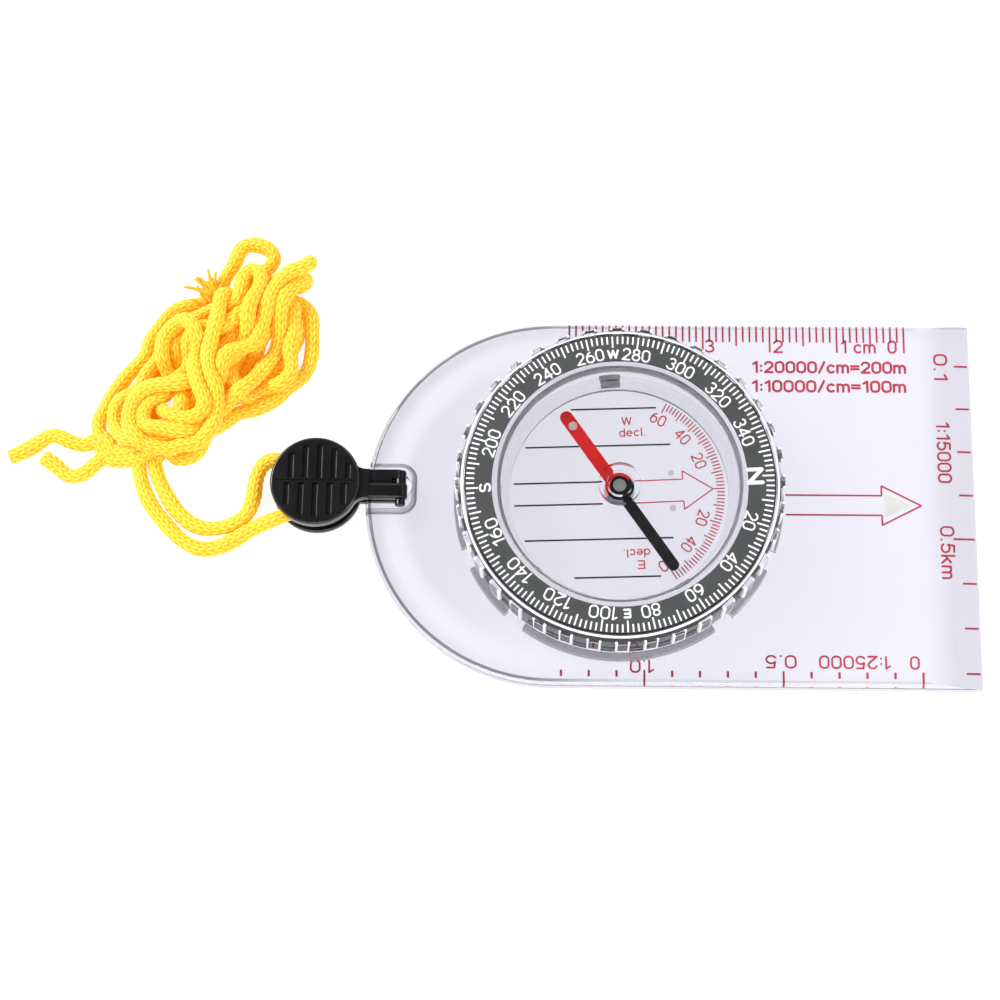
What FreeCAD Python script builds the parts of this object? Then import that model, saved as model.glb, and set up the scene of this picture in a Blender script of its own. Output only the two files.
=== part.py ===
"""A baseplate compass with its lanyard, as separate pieces. Millimetres, +Z up.

The origin is on the dial's axis, on the underside of the base plate. +X is the direction of
travel, along the plate. The dial rests turned a few degrees, as its wearer left it.
"""
import FreeCAD
import Part
import math
import os

V = FreeCAD.Vector
UP = V(0, 0, 1)
ORIGIN = V(0, 0, 0)

# Base plate
PLATE_FRONT = 52.1        # X of the straight front edge
PLATE_HALF_WIDTH = 27.5   # also the radius of the round tail
TAIL_CENTRE = -9.6        # X of the round tail's centre
PLATE_THICKNESS = 2.8
TAPER_LENGTH = 8.6        # the top face falls away over this length at the front
TAPER_DROP = 1.0
EDGE_ROUND = 0.9          # round of the plate's upper edge
HOLE_RADIUS = 1.8         # lanyard hole in the tail, under the clip's hinge
RELIEF_DEPTH = 1.4        # recess under the tail, where the clip's lower leaf lies
RELIEF_HALF_WIDTH = 3.9
RELIEF_START = -29.6
RELIEF_CORNER = 2.4
RELIEF_CEILING_ROUND = 1.0

# Dial: everything that turns about +Z through the origin
DIAL_TURN = 3.0           # degrees from the direction of travel at rest
DIAL_FLOOR = 3.3          # underside of the turning parts
DIAL_TOP = 12.25
BEZEL_RADIUS = 23.15
BUMP_RADIUS = 23.6
BUMP_COUNT = 36
BUMP_PHASE = 1.0
BUMP_WIDTH = 2.1
BUMP_HEIGHT = 5.0         # down from just under the top
CHANNEL_FLOOR = 5.0       # the graduated ring stands here, inside the bezel
RING_OUTER = 22.05
RING_INNER = 18.3
FIT = 0.05                # gap between parts that are glued or snapped together

# Collar that keeps the bezel on the plate
COLLAR_OUTER = 24.1
COLLAR_INNER = 23.05
COLLAR_LIP = 22.5
COLLAR_TOP = 4.45
SLOT_ANGLES = (23, 51, 129, 157, 203, 231, 309, 337)
SLOT_WIDTH = 3.2
DRAG_INNER = 19.5         # ring under the bezel that gives its turning some drag
DRAG_OUTER = 21.0

# Capsule
HOUSING_RADIUS = 18.2
CAVITY_RADIUS = 17.0
LEDGE_RADIUS = 15.9
FLOOR_BOTTOM = 4.05
FLOOR_TOP = 4.55
LENS_BOTTOM = 11.0
LENS_TOP = 12.1
LENS_RADIUS = 17.55
GASKET = 0.15
BOSS_OUTER = 3.03
BOSS_INNER = 1.86
BOSS_BOTTOM = 9.95
PIN_RADIUS = 0.3
PIN_TIP = 9.15
PIN_TAPER = 0.65
PLUG_LENGTH = 2.8         # the filling hole's plug, at the far side of the cavity
PLUG_TURN = 4.5
PIP_RADIUS = 0.45
PIP_REACH = 8.1
PIP_SPREAD = 18.7         # degrees each side of the dial's north

# Needle
NEEDLE_DIRECTION = 125.0  # degrees from +X, towards the red end
NEEDLE_BOTTOM = 6.05
NEEDLE_THICKNESS = 0.5
NEEDLE_REACH = 14.3
NORTH_WIDTH = 1.9
SOUTH_WIDTH = 1.65
HUB_RADIUS = 2.2
HUB_TOP = 9.95
EYE_RADIUS = 1.5          # hole through the needle, round the hub's lower part
JEWEL_RADIUS = 0.95
LUME_RADIUS = 0.65
LUME_REACH = 11.75

# Clip: two leaves joined by a pin beside the lanyard hole
CLIP_Y = 1.9
PIVOT_X = -32.1           # the clip swings about the lanyard hole's centre
HINGE_X = -31.9
HINGE_Z = 3.95
KNUCKLE_RADIUS = 0.85     # of the side band and the lug
BAND_KNUCKLE_RADIUS = 1.05
KNUCKLE_BREAK = 0.25
CLIP_PIN_RADIUS = 0.35
PIN_HEAD_RADIUS = 0.75
PIN_HEAD_LENGTH = 1.0
LUG_WIDTH = 0.6           # the lower leaf's lug, between the upper leaf's two bands
LUG_GAP = 0.06
LUG_Y = 2.15
WALL_HALF_WIDTH = 1.3     # of the lower leaf's wall where it comes up through the hole
WALL_HALF_LENGTH = 0.5
WALL_TOP = 2.65
STRAP_WIDTH = 4.3
STRAP_Y = 1.7             # middle of the upper leaf's strap
STRAP_TOP = 4.75          # the side band; the main band stands above it
BAND_TOP = 5.05
BAND_ROUND = 0.45
LOWER_STRAP_WIDTH = 4.0
NECK_ROOT = 5.0           # the disc flows into the strap between these distances from its centre
NECK_END = 7.9
NECK_TOP = 5.1
DISC_X = -44.3
DISC_RADIUS = 6.6
LOWER_DISC_TOP = 1.2
UPPER_DISC_BOTTOM = 3.55
UPPER_DISC_TOP = 5.6
STUD_RADIUS = 1.5
SOCKET_RADIUS = 1.85
GROOVE_PITCH = 2.1
GROOVE_HALF_WIDTH = 0.25  # at the groove's floor
GROOVE_FLARE = 0.2        # how much wider it is at the top, each side
GROOVE_DEPTH = 0.4
GROOVE_CIRCLE = 5.5       # the grooves end on this circle
ROW_SHIFT = 0.6           # the two rows of grooves are staggered
ROW_GAP = 0.35
LINE_DEPTH = 0.12         # the line between the rows, and along the strap

# Lanyard
CORD_RADIUS = 1.0
CORD_TURN = 2.65          # from the stud's centre to the cord's line beside it
STUD_TURN = 2.5           # radius of that line as it goes round the stud
HEAP_BOTTOM = 0.1
HEAP_TOP = 7.3
HEAP_BREAK = 1.8


def box(x0, x1, y0, y1, z0, z1):
    return Part.makeBox(x1 - x0, y1 - y0, z1 - z0, V(x0, y0, z0))


def disc(radius, z0, z1, x=0.0, y=0.0):
    return Part.makeCylinder(radius, z1 - z0, V(x, y, z0))


def tube_ring(inner, outer, z0, z1):
    return disc(outer, z0, z1).cut(disc(inner, z0 - 1, z1 + 1))


def turned(profile):
    """A solid of revolution about +Z from (radius, height) corners."""
    corners = [V(r, 0, z) for r, z in profile]
    face = Part.Face(Part.makePolygon(corners + [corners[0]]))
    return face.revolve(ORIGIN, UP, 360)


def spun(shape, degrees):
    """A copy turned about the dial's axis."""
    copy = shape.copy()
    copy.rotate(ORIGIN, UP, degrees)
    return copy


def save(name, shape):
    shape.exportStep(f"parts/{name}.step")
    print(f"{name}: {len(shape.Solids)} solid(s), {shape.Volume:.2f} mm3, valid {shape.isValid()}")


# ---------------------------------------------------------------- base

def base_plate():
    side = PLATE_HALF_WIDTH
    tail = V(TAIL_CENTRE - side, 0, 0)
    edges = [
        Part.makeLine(V(TAIL_CENTRE, -side, 0), V(PLATE_FRONT, -side, 0)),
        Part.makeLine(V(PLATE_FRONT, -side, 0), V(PLATE_FRONT, side, 0)),
        Part.makeLine(V(PLATE_FRONT, side, 0), V(TAIL_CENTRE, side, 0)),
        Part.Arc(V(TAIL_CENTRE, side, 0), tail, V(TAIL_CENTRE, -side, 0)).toShape(),
    ]
    plate = Part.Face(Part.Wire(edges)).extrude(V(0, 0, PLATE_THICKNESS))
    upper = [e for e in plate.Edges if e.BoundBox.ZMin > PLATE_THICKNESS - 0.01]
    plate = plate.makeFillet(EDGE_ROUND, upper)
    plate = plate.cut(front_taper())
    plate = plate.cut(disc(HOLE_RADIUS, -1, PLATE_THICKNESS + 1, PIVOT_X, CLIP_Y))
    return plate.cut(clip_relief())


def clip_relief():
    """The recess under the tail, with a round inner end and a rounded ceiling."""
    outside = TAIL_CENTRE - PLATE_HALF_WIDTH - 5
    half = RELIEF_HALF_WIDTH
    relief = box(outside, RELIEF_START, CLIP_Y - half, CLIP_Y + half, -1, RELIEF_DEPTH)
    corners = [
        e for e in relief.Edges
        if e.BoundBox.XMin > RELIEF_START - 0.01 and e.BoundBox.ZLength > 1
    ]
    relief = relief.makeFillet(RELIEF_CORNER, corners)
    ceiling = [
        e for e in relief.Edges
        if e.BoundBox.ZMin > RELIEF_DEPTH - 0.01 and e.BoundBox.XMax > outside + 0.1
    ]
    return relief.makeFillet(RELIEF_CEILING_ROUND, ceiling)


def front_taper():
    """What is cut off the top face so that it curves down to the front edge."""
    start = PLATE_FRONT - TAPER_LENGTH
    top = PLATE_THICKNESS
    middle = V(start + 0.5 * TAPER_LENGTH, 0, top - 0.25 * TAPER_DROP)
    edges = [
        Part.Arc(V(start, 0, top), middle, V(PLATE_FRONT, 0, top - TAPER_DROP)).toShape(),
        Part.makeLine(V(PLATE_FRONT, 0, top - TAPER_DROP), V(PLATE_FRONT + 1, 0, top - TAPER_DROP)),
        Part.makeLine(V(PLATE_FRONT + 1, 0, top - TAPER_DROP), V(PLATE_FRONT + 1, 0, top + 1)),
        Part.makeLine(V(PLATE_FRONT + 1, 0, top + 1), V(start, 0, top + 1)),
        Part.makeLine(V(start, 0, top + 1), V(start, 0, top)),
    ]
    wedge = Part.Face(Part.Wire(edges)).extrude(V(0, 2 * PLATE_HALF_WIDTH + 2, 0))
    wedge.translate(V(0, -PLATE_HALF_WIDTH - 1, 0))
    return wedge


def retaining_collar():
    collar = turned([
        (COLLAR_INNER, PLATE_THICKNESS),
        (COLLAR_OUTER, PLATE_THICKNESS),
        (COLLAR_OUTER - 0.15, COLLAR_TOP),
        (COLLAR_LIP, COLLAR_TOP),
        (COLLAR_LIP, COLLAR_TOP - 0.4),
        (COLLAR_INNER, COLLAR_TOP - 0.5),
    ])
    half = SLOT_WIDTH / 2
    slot = box(COLLAR_LIP - 1, COLLAR_OUTER + 1, -half, half, PLATE_THICKNESS - 1, COLLAR_TOP + 1)
    for angle in SLOT_ANGLES:
        collar = collar.cut(spun(slot, angle - 90))
    return collar


def friction_ring():
    return tube_ring(DRAG_INNER, DRAG_OUTER, PLATE_THICKNESS, DIAL_FLOOR - 0.1)


# ---------------------------------------------------------------- dial

def bezel():
    neck = COLLAR_LIP - 0.2
    body = turned([
        (HOUSING_RADIUS + FIT, DIAL_FLOOR),
        (COLLAR_INNER - 0.15, DIAL_FLOOR),
        (COLLAR_INNER - 0.15, DIAL_FLOOR + 0.45),
        (neck, DIAL_FLOOR + 0.45),
        (neck, COLLAR_TOP + 0.3),
        (BEZEL_RADIUS, COLLAR_TOP + 0.3),
        (BEZEL_RADIUS, DIAL_TOP - 0.9),
        (BEZEL_RADIUS - 0.6, DIAL_TOP),
        (RING_OUTER + FIT, DIAL_TOP),
        (RING_OUTER + FIT, CHANNEL_FLOOR),
        (HOUSING_RADIUS + FIT, CHANNEL_FLOOR),
    ])
    bump = grip_bump()
    step = 360.0 / BUMP_COUNT
    bumps = [spun(bump, BUMP_PHASE + step * i) for i in range(BUMP_COUNT)]
    return body.multiFuse(bumps)


def grip_bump():
    """One of the rounded teeth round the bezel, on the +X side."""
    half = BUMP_WIDTH / 2
    top = DIAL_TOP - 0.45
    tooth = box(BEZEL_RADIUS - 0.6, BUMP_RADIUS, -half, half, top - BUMP_HEIGHT, top)
    outer = [e for e in tooth.Edges if e.BoundBox.XMin > BUMP_RADIUS - 0.01]
    return tooth.makeFillet(0.3, outer)


def graduated_ring():
    return turned([
        (RING_INNER, DIAL_TOP - 0.8),
        (RING_INNER, DIAL_TOP),
        (RING_OUTER, DIAL_TOP),
        (RING_OUTER, CHANNEL_FLOOR),
        (RING_OUTER - 1.15, CHANNEL_FLOOR),
        (RING_OUTER - 1.15, DIAL_TOP - 0.8),
    ])


def capsule_housing():
    seat = LENS_BOTTOM - GASKET
    return turned([
        (LEDGE_RADIUS, DIAL_FLOOR),
        (HOUSING_RADIUS, DIAL_FLOOR),
        (HOUSING_RADIUS, LENS_TOP),
        (LENS_RADIUS + FIT, LENS_TOP),
        (LENS_RADIUS + FIT, seat),
        (CAVITY_RADIUS, seat),
        (CAVITY_RADIUS, FLOOR_BOTTOM),
        (LEDGE_RADIUS, FLOOR_BOTTOM),
    ])


def lens_gasket():
    return tube_ring(CAVITY_RADIUS + FIT, LENS_RADIUS, LENS_BOTTOM - GASKET, LENS_BOTTOM)


def capsule_lens():
    """The window. The boss under it keeps the needle on its pin when the compass is upended."""
    window = disc(LENS_RADIUS, LENS_BOTTOM, LENS_TOP)
    return window.fuse(tube_ring(BOSS_INNER, BOSS_OUTER, BOSS_BOTTOM, LENS_BOTTOM))


def capsule_floor():
    floor = disc(CAVITY_RADIUS - FIT, FLOOR_BOTTOM, FLOOR_TOP)
    boss = Part.makeCone(1.5, 1.1, 1.05, V(0, 0, FLOOR_TOP))
    return floor.fuse(boss).cut(disc(PIN_RADIUS, FLOOR_BOTTOM - 1, FLOOR_TOP + 2))


def filler_plug():
    half = PLUG_LENGTH / 2
    block = box(-half, half, LEDGE_RADIUS + 0.1, CAVITY_RADIUS - 0.2, FLOOR_TOP, FLOOR_TOP + 1.3)
    return spun(block, PLUG_TURN)


def north_pips():
    pips = [
        spun(disc(PIP_RADIUS, FLOOR_TOP, FLOOR_TOP + 0.15, PIP_REACH), DIAL_TURN + side * PIP_SPREAD)
        for side in (-1, 1)
    ]
    return Part.makeCompound(pips)


def pivot_pin():
    return turned([
        (0, FLOOR_BOTTOM),
        (PIN_RADIUS, FLOOR_BOTTOM),
        (PIN_RADIUS, PIN_TIP - PIN_TAPER),
        (0.03, PIN_TIP),
        (0, PIN_TIP),
    ])


# ---------------------------------------------------------------- needle

def arm(reach, width):
    """A straight arm from the axis out along +X with a round end."""
    top = NEEDLE_BOTTOM + NEEDLE_THICKNESS
    end = reach - width / 2
    bar = box(0, end, -width / 2, width / 2, NEEDLE_BOTTOM, top)
    return bar.fuse(disc(width / 2, NEEDLE_BOTTOM, top, end))


def needle():
    top = NEEDLE_BOTTOM + NEEDLE_THICKNESS
    bar = arm(NEEDLE_REACH, NORTH_WIDTH).fuse(spun(arm(NEEDLE_REACH, SOUTH_WIDTH), 180))
    bar = bar.fuse(disc(HUB_RADIUS, NEEDLE_BOTTOM, top))
    bar = bar.cut(disc(EYE_RADIUS, NEEDLE_BOTTOM - 1, top + 1))
    bar = bar.cut(disc(LUME_RADIUS, NEEDLE_BOTTOM - 1, top + 1, LUME_REACH))
    return spun(bar, NEEDLE_DIRECTION)


def needle_hub():
    return turned([
        (JEWEL_RADIUS, NEEDLE_BOTTOM - 0.1),
        (EYE_RADIUS, NEEDLE_BOTTOM - 0.1),
        (EYE_RADIUS, NEEDLE_BOTTOM + NEEDLE_THICKNESS),
        (HUB_RADIUS, NEEDLE_BOTTOM + NEEDLE_THICKNESS),
        (HUB_RADIUS - 0.1, HUB_TOP - 0.75),
        (EYE_RADIUS, HUB_TOP - 0.6),
        (EYE_RADIUS - 0.1, HUB_TOP),
        (JEWEL_RADIUS, HUB_TOP),
    ])


def jewel_bearing():
    """The cup stands over the pin's tip with running clearance all round."""
    cup = Part.makeCone(0.6, 0, PIN_TAPER + 0.1, V(0, 0, PIN_TIP - PIN_TAPER))
    return disc(JEWEL_RADIUS, PIN_TIP - PIN_TAPER, HUB_TOP + FIT).cut(cup)


def lume_dot():
    dot = disc(LUME_RADIUS, NEEDLE_BOTTOM, NEEDLE_BOTTOM + NEEDLE_THICKNESS + 0.05, LUME_REACH)
    return spun(dot, NEEDLE_DIRECTION)


# ---------------------------------------------------------------- clip

def across(radius, x, z, y0, y1):
    """A cylinder that lies along Y, for knuckles and pins."""
    return Part.makeCylinder(radius, y1 - y0, V(x, y0, z), V(0, 1, 0))


def clip_lower_leaf():
    half = LOWER_STRAP_WIDTH / 2
    wall = (PIVOT_X - WALL_HALF_LENGTH, PIVOT_X + WALL_HALF_LENGTH)
    reach = WALL_HALF_WIDTH
    lug = (LUG_Y - LUG_WIDTH / 2, LUG_Y + LUG_WIDTH / 2)
    leaf = disc(DISC_RADIUS, 0, LOWER_DISC_TOP, DISC_X, CLIP_Y)
    leaf = leaf.makeFillet(0.35, [e for e in leaf.Edges if len(e.Vertexes) == 1])
    leaf = leaf.fuse(box(DISC_X + 3, wall[1], CLIP_Y - half, CLIP_Y + half, 0, 1.0))
    leaf = leaf.fuse(box(wall[0], wall[1], CLIP_Y - reach, CLIP_Y + reach, 0.5, WALL_TOP))
    leaf = leaf.fuse(box(wall[0], wall[1], lug[0], lug[1], 0.5, HINGE_Z))
    leaf = leaf.fuse(knuckle(KNUCKLE_RADIUS, 0, lug[0], lug[1]))
    leaf = leaf.cut(disc(SOCKET_RADIUS, 0.4, 2, DISC_X, CLIP_Y))
    return leaf.cut(across(CLIP_PIN_RADIUS, HINGE_X, HINGE_Z, lug[0] - 1, lug[1] + 1))


def knuckle(radius, break_size, y0, y1):
    """One barrel of the hinge, with its ends broken where break_size isn't 0."""
    barrel = across(radius, HINGE_X, HINGE_Z, y0, y1)
    if not break_size:
        return barrel
    ends = [e for e in barrel.Edges if abs(e.BoundBox.YLength) < 0.01]
    return barrel.makeFillet(break_size, ends)


def clip_upper_leaf():
    left = STRAP_Y - STRAP_WIDTH / 2
    right = STRAP_Y + STRAP_WIDTH / 2
    gap = LUG_WIDTH / 2 + LUG_GAP
    leaf = disc(DISC_RADIUS, UPPER_DISC_BOTTOM, UPPER_DISC_TOP, DISC_X, CLIP_Y)
    rims = [e for e in leaf.Edges if abs(e.BoundBox.ZLength) < 0.01 and len(e.Vertexes) == 1]
    leaf = leaf.makeFillet(0.4, rims)
    leaf = leaf.fuse(disc_neck())
    leaf = leaf.fuse(box(DISC_X + NECK_ROOT, HINGE_X, left, right, 3.5, STRAP_TOP))
    leaf = leaf.fuse(main_band(left, LUG_Y - gap))
    leaf = leaf.fuse(knuckle(KNUCKLE_RADIUS, KNUCKLE_BREAK, LUG_Y, right))
    leaf = leaf.fuse(knuckle(BAND_KNUCKLE_RADIUS, KNUCKLE_BREAK, left, LUG_Y - gap))
    leaf = leaf.cut(box(HINGE_X - 1.2, HINGE_X + 2, LUG_Y - gap, LUG_Y + gap, 2.5, 7))
    leaf = leaf.cut(across(CLIP_PIN_RADIUS + 0.05, HINGE_X, HINGE_Z, left - 1, right + 1))
    for groove in grip_grooves():
        leaf = leaf.cut(groove)
    line = box(DISC_X + NECK_END, HINGE_X, LUG_Y - gap, LUG_Y, STRAP_TOP - LINE_DEPTH, 7)
    return leaf.cut(line)


def main_band(y0, y1):
    """The raised band along the strap, round on top and at the neck."""
    band = box(DISC_X + NECK_ROOT + 0.6, HINGE_X, y0, y1, 3.6, BAND_TOP)
    upper = [
        e for e in band.Edges
        if e.BoundBox.ZMin > BAND_TOP - 0.01 and e.BoundBox.XMin < HINGE_X - 0.1
    ]
    return band.makeFillet(BAND_ROUND, upper)


def disc_neck():
    """The hollow-sided neck between the top disc and the strap."""
    root = math.sqrt(DISC_RADIUS ** 2 - NECK_ROOT ** 2)
    end = STRAP_WIDTH / 2
    x0 = DISC_X + NECK_ROOT
    x1 = DISC_X + NECK_END
    waist = (DISC_X + NECK_ROOT + 0.36 * (NECK_END - NECK_ROOT), end + 0.22 * (root - end))
    z = UPPER_DISC_BOTTOM
    flanks = [
        Part.Arc(V(x0, CLIP_Y + s * root, z), V(waist[0], STRAP_Y + s * waist[1], z),
                 V(x1, STRAP_Y + s * end, z)).toShape()
        for s in (1, -1)
    ]
    ends = [
        Part.makeLine(V(x, y - half, z), V(x, y + half, z))
        for x, y, half in ((x0, CLIP_Y, root), (x1, STRAP_Y, end))
    ]
    return Part.Face(Part.Wire(Part.__sortEdges__(flanks + ends))).extrude(V(0, 0, NECK_TOP - z))


def grip_grooves():
    """Two staggered rows of five thumb grooves, and the line between the rows."""
    grooves = []
    for row, shift in ((1, ROW_SHIFT), (-1, 0.05)):
        for i in range(-2, 3):
            across_x = GROOVE_PITCH * i + shift
            reach = math.sqrt(GROOVE_CIRCLE ** 2 - across_x ** 2) - GROOVE_HALF_WIDTH
            grooves.append(grip_groove(DISC_X + across_x, CLIP_Y + ROW_GAP * row, CLIP_Y + reach * row))
    half = DISC_RADIUS - 0.7
    floor = UPPER_DISC_TOP - LINE_DEPTH
    grooves.append(box(DISC_X - half, DISC_X + half, CLIP_Y - 0.1, CLIP_Y + 0.1, floor, 7))
    return grooves


def grip_groove(x, start, end):
    """A flared groove along Y, square at the middle of the disc and round at its rim."""
    low = GROOVE_HALF_WIDTH
    high = GROOVE_HALF_WIDTH + GROOVE_FLARE
    floor = UPPER_DISC_TOP - GROOVE_DEPTH
    top = UPPER_DISC_TOP + 0.01
    corners = [V(x - low, start, floor), V(x + low, start, floor), V(x + high, start, top),
               V(x - high, start, top)]
    trough = Part.Face(Part.makePolygon(corners + corners[:1])).extrude(V(0, end - start, 0))
    return trough.fuse(Part.makeCone(low, high, GROOVE_DEPTH + 0.01, V(x, end, floor)))


def clip_hinge_pin():
    """The pin, with its round head at the front."""
    left = STRAP_Y - STRAP_WIDTH / 2 - 0.04
    head = across(PIN_HEAD_RADIUS, HINGE_X, HINGE_Z, left - PIN_HEAD_LENGTH, left)
    head = head.makeFillet(0.2, [e for e in head.Edges if e.BoundBox.YLength < 0.01])
    return head.fuse(across(CLIP_PIN_RADIUS, HINGE_X, HINGE_Z, left, left + STRAP_WIDTH))


def clip_stud():
    return disc(STUD_RADIUS, 0.6, UPPER_DISC_BOTTOM, DISC_X, CLIP_Y)


# ---------------------------------------------------------------- lanyard

def round_the_stud(side):
    """The cord's first two points: beside the stud, then the corner of its quarter turn."""
    z = (LOWER_DISC_TOP + UPPER_DISC_BOTTOM) / 2
    x = DISC_X + CORD_TURN
    return [(x, CLIP_Y, z), (x, CLIP_Y + side * CORD_TURN, z)]


def upper_strand_route():
    """Round the stud, out of the clip's tail side and down into the heap."""
    return round_the_stud(1) + [
        (-46.5, 4.7, 2.375), (-49.6, 6.1, 2.3), (-52.3, 5.9, 1.9), (-53.6, 3.2, 1.4),
        (-53.7, -0.2, 1.15), (-55.1, -3.0, 1.05), (-58.4, -4.4, 1.05), (-62.0, -4.3, 1.05),
        (-65.0, -1.9, 1.05), (-67.2, 1.5, 1.05), (-68.7, 4.9, 1.05), (-69.0, 7.6, 1.05),
    ]


def lower_strand_route():
    """Round the stud the other way and along outside the upper strand."""
    return round_the_stud(-1) + [
        (-46.5, -1.5, 2.375), (-50.0, -3.0, 2.3), (-53.6, -4.3, 1.5), (-57.0, -6.6, 1.1),
        (-60.4, -7.8, 1.05), (-63.8, -6.6, 1.05), (-66.6, -3.7, 1.05), (-69.2, -0.6, 1.05),
        (-70.7, 3.0, 1.05), (-71.2, 6.2, 1.05), (-71.1, 8.9, 1.05),
    ]


def long_tail_route():
    return [
        (-77.2, 9.6, 1.05), (-79.2, 8.2, 1.05), (-81.6, 8.9, 1.05), (-84.2, 10.3, 1.05),
        (-86.6, 8.4, 1.05), (-88.6, 7.2, 1.05), (-90.4, 6.4, 1.05),
    ]


def short_tail_route():
    return [
        (-74.6, 8.0, 1.05), (-77.0, 6.0, 1.05), (-79.4, 3.6, 1.05), (-81.7, 3.4, 1.05),
        (-83.3, 5.2, 1.05), (-85.3, 6.4, 1.05),
    ]


def rounded_path(route, first_radius):
    """Straight runs joined by tangent arcs, each as large as its two runs allow.

    A first_radius sets the first corner's arc, where the cord goes round something.
    """
    points = [V(*p) for p in route]
    edges = []
    radii = []
    start = points[0]
    for before, corner, after in zip(points, points[1:], points[2:]):
        into = (corner - before).normalize()
        out = (after - corner).normalize()
        half_turn = into.getAngle(out) / 2
        radius = 0.45 * min((corner - before).Length, (after - corner).Length) / math.tan(half_turn)
        if first_radius and not radii:
            radius = first_radius
        reach = radius * math.tan(half_turn)
        inward = (out - into).normalize()
        middle = corner + inward * (radius / math.cos(half_turn) - radius)
        arc_start = corner - into * reach
        arc_end = corner + out * reach
        if (arc_start - start).Length > 0.01:
            edges.append(Part.LineSegment(start, arc_start).toShape())
        edges.append(Part.Arc(arc_start, middle, arc_end).toShape())
        radii.append(radius)
        start = arc_end
    edges.append(Part.LineSegment(start, points[-1]).toShape())
    return Part.Wire(edges), radii


def cord_tube(name, route, first_radius=None):
    path, radii = rounded_path(route, first_radius)
    heading = V(*route[1]) - V(*route[0])
    section = Part.Wire(Part.makeCircle(CORD_RADIUS, V(*route[0]), heading))
    tube = path.makePipeShell([section], True, False)
    expected = math.pi * CORD_RADIUS ** 2 * path.Length
    print(f"{name}: length {path.Length:.1f}, radii {[round(r, 1) for r in radii]}, "
          f"volume over section times length {tube.Volume / expected:.4f}")
    return tube


def lanyard_bundle():
    """The outer shape of the loosely heaped middle of the lanyard."""
    outline = [
        (-76.6, 7.9), (-71.9, 8.6), (-65.2, 5.8), (-61.2, 9.5), (-54.6, 14.3), (-48.6, 16.2),
        (-45.6, 20.0), (-44.5, 27.2), (-45.2, 38.4), (-51.2, 41.8), (-57.2, 40.6), (-64.6, 33.8),
        (-70.4, 27.6), (-75.2, 18.8), (-78.4, 12.6),
    ]
    lower = [V(x, y, HEAP_BOTTOM) for x, y in outline]
    heap = Part.Face(Part.makePolygon(lower + [lower[0]])).extrude(V(0, 0, HEAP_TOP - HEAP_BOTTOM))
    upper = [e for e in heap.Edges if e.BoundBox.ZMin > HEAP_TOP - 0.1]
    return heap.makeChamfer(HEAP_BREAK, upper)


def build():
    os.makedirs("parts", exist_ok=True)
    save("base_plate", base_plate())
    save("retaining_collar", retaining_collar())
    save("friction_ring", friction_ring())
    save("bezel", bezel())
    save("graduated_ring", graduated_ring())
    save("capsule_housing", capsule_housing())
    save("lens_gasket", lens_gasket())
    save("capsule_lens", capsule_lens())
    save("capsule_floor", capsule_floor())
    save("filler_plug", filler_plug())
    save("north_pips", north_pips())
    save("pivot_pin", pivot_pin())
    save("needle", needle())
    save("needle_hub", needle_hub())
    save("jewel_bearing", jewel_bearing())
    save("lume_dot", lume_dot())
    save("clip_lower_leaf", clip_lower_leaf())
    save("clip_upper_leaf", clip_upper_leaf())
    save("clip_hinge_pin", clip_hinge_pin())
    save("clip_stud", clip_stud())
    for name, route, first_radius in (
        ("lanyard_upper_strand", upper_strand_route(), STUD_TURN),
        ("lanyard_lower_strand", lower_strand_route(), STUD_TURN),
        ("lanyard_long_tail", long_tail_route(), None),
        ("lanyard_short_tail", short_tail_route(), None),
    ):
        save(name, cord_tube(name, route, first_radius))
    save("lanyard_bundle", lanyard_bundle())


build()
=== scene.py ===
"""The looks of a baseplate compass with its lanyard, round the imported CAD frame. Row frame, metres.

The camera and the cords come first, then the materials of the CAD nodes, the printed marks,
the liquid in the capsule, the lights and the floor.
"""
import bpy
import bmesh
import math
import numpy as np
from mathutils import Matrix, Vector


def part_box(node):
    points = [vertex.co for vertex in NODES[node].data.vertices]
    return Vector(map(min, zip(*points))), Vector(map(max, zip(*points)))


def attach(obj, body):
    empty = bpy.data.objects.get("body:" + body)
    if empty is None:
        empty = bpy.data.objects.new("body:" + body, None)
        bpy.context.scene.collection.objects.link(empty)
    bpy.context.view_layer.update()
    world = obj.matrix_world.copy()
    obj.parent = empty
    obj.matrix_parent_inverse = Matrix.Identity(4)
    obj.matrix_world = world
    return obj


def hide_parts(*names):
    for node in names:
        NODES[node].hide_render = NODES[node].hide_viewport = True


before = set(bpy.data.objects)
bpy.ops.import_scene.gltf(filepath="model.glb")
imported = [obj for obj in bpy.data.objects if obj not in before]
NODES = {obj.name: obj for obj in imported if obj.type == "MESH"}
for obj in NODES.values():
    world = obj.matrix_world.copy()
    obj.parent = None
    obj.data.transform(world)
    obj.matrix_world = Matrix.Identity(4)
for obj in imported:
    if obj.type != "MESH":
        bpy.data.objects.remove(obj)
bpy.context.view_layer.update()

MM = 0.001
RED_INK = (0.66, 0.045, 0.095)
DIAL_TURN = math.radians(3.0)       # the dial's north at rest, anticlockwise from +X

# Heights of the printed marks, from the frame
PLATE_PRINT_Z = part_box("base_plate")[0][2] + 0.03 * MM
RING_PRINT_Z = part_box("graduated_ring")[1][2]
FLOOR_PRINT_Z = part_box("north_pips")[0][2]
INK_THICKNESS = 0.02 * MM


# ------------------------------------------------------------------ camera

CAMERA_PLACE = Vector((-8.65, -92.34, 323.42)) * MM
CAMERA_TURNS = (-0.28, -0.027, -0.015)
SENSOR = 36.0
LENS = 82.02


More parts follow.
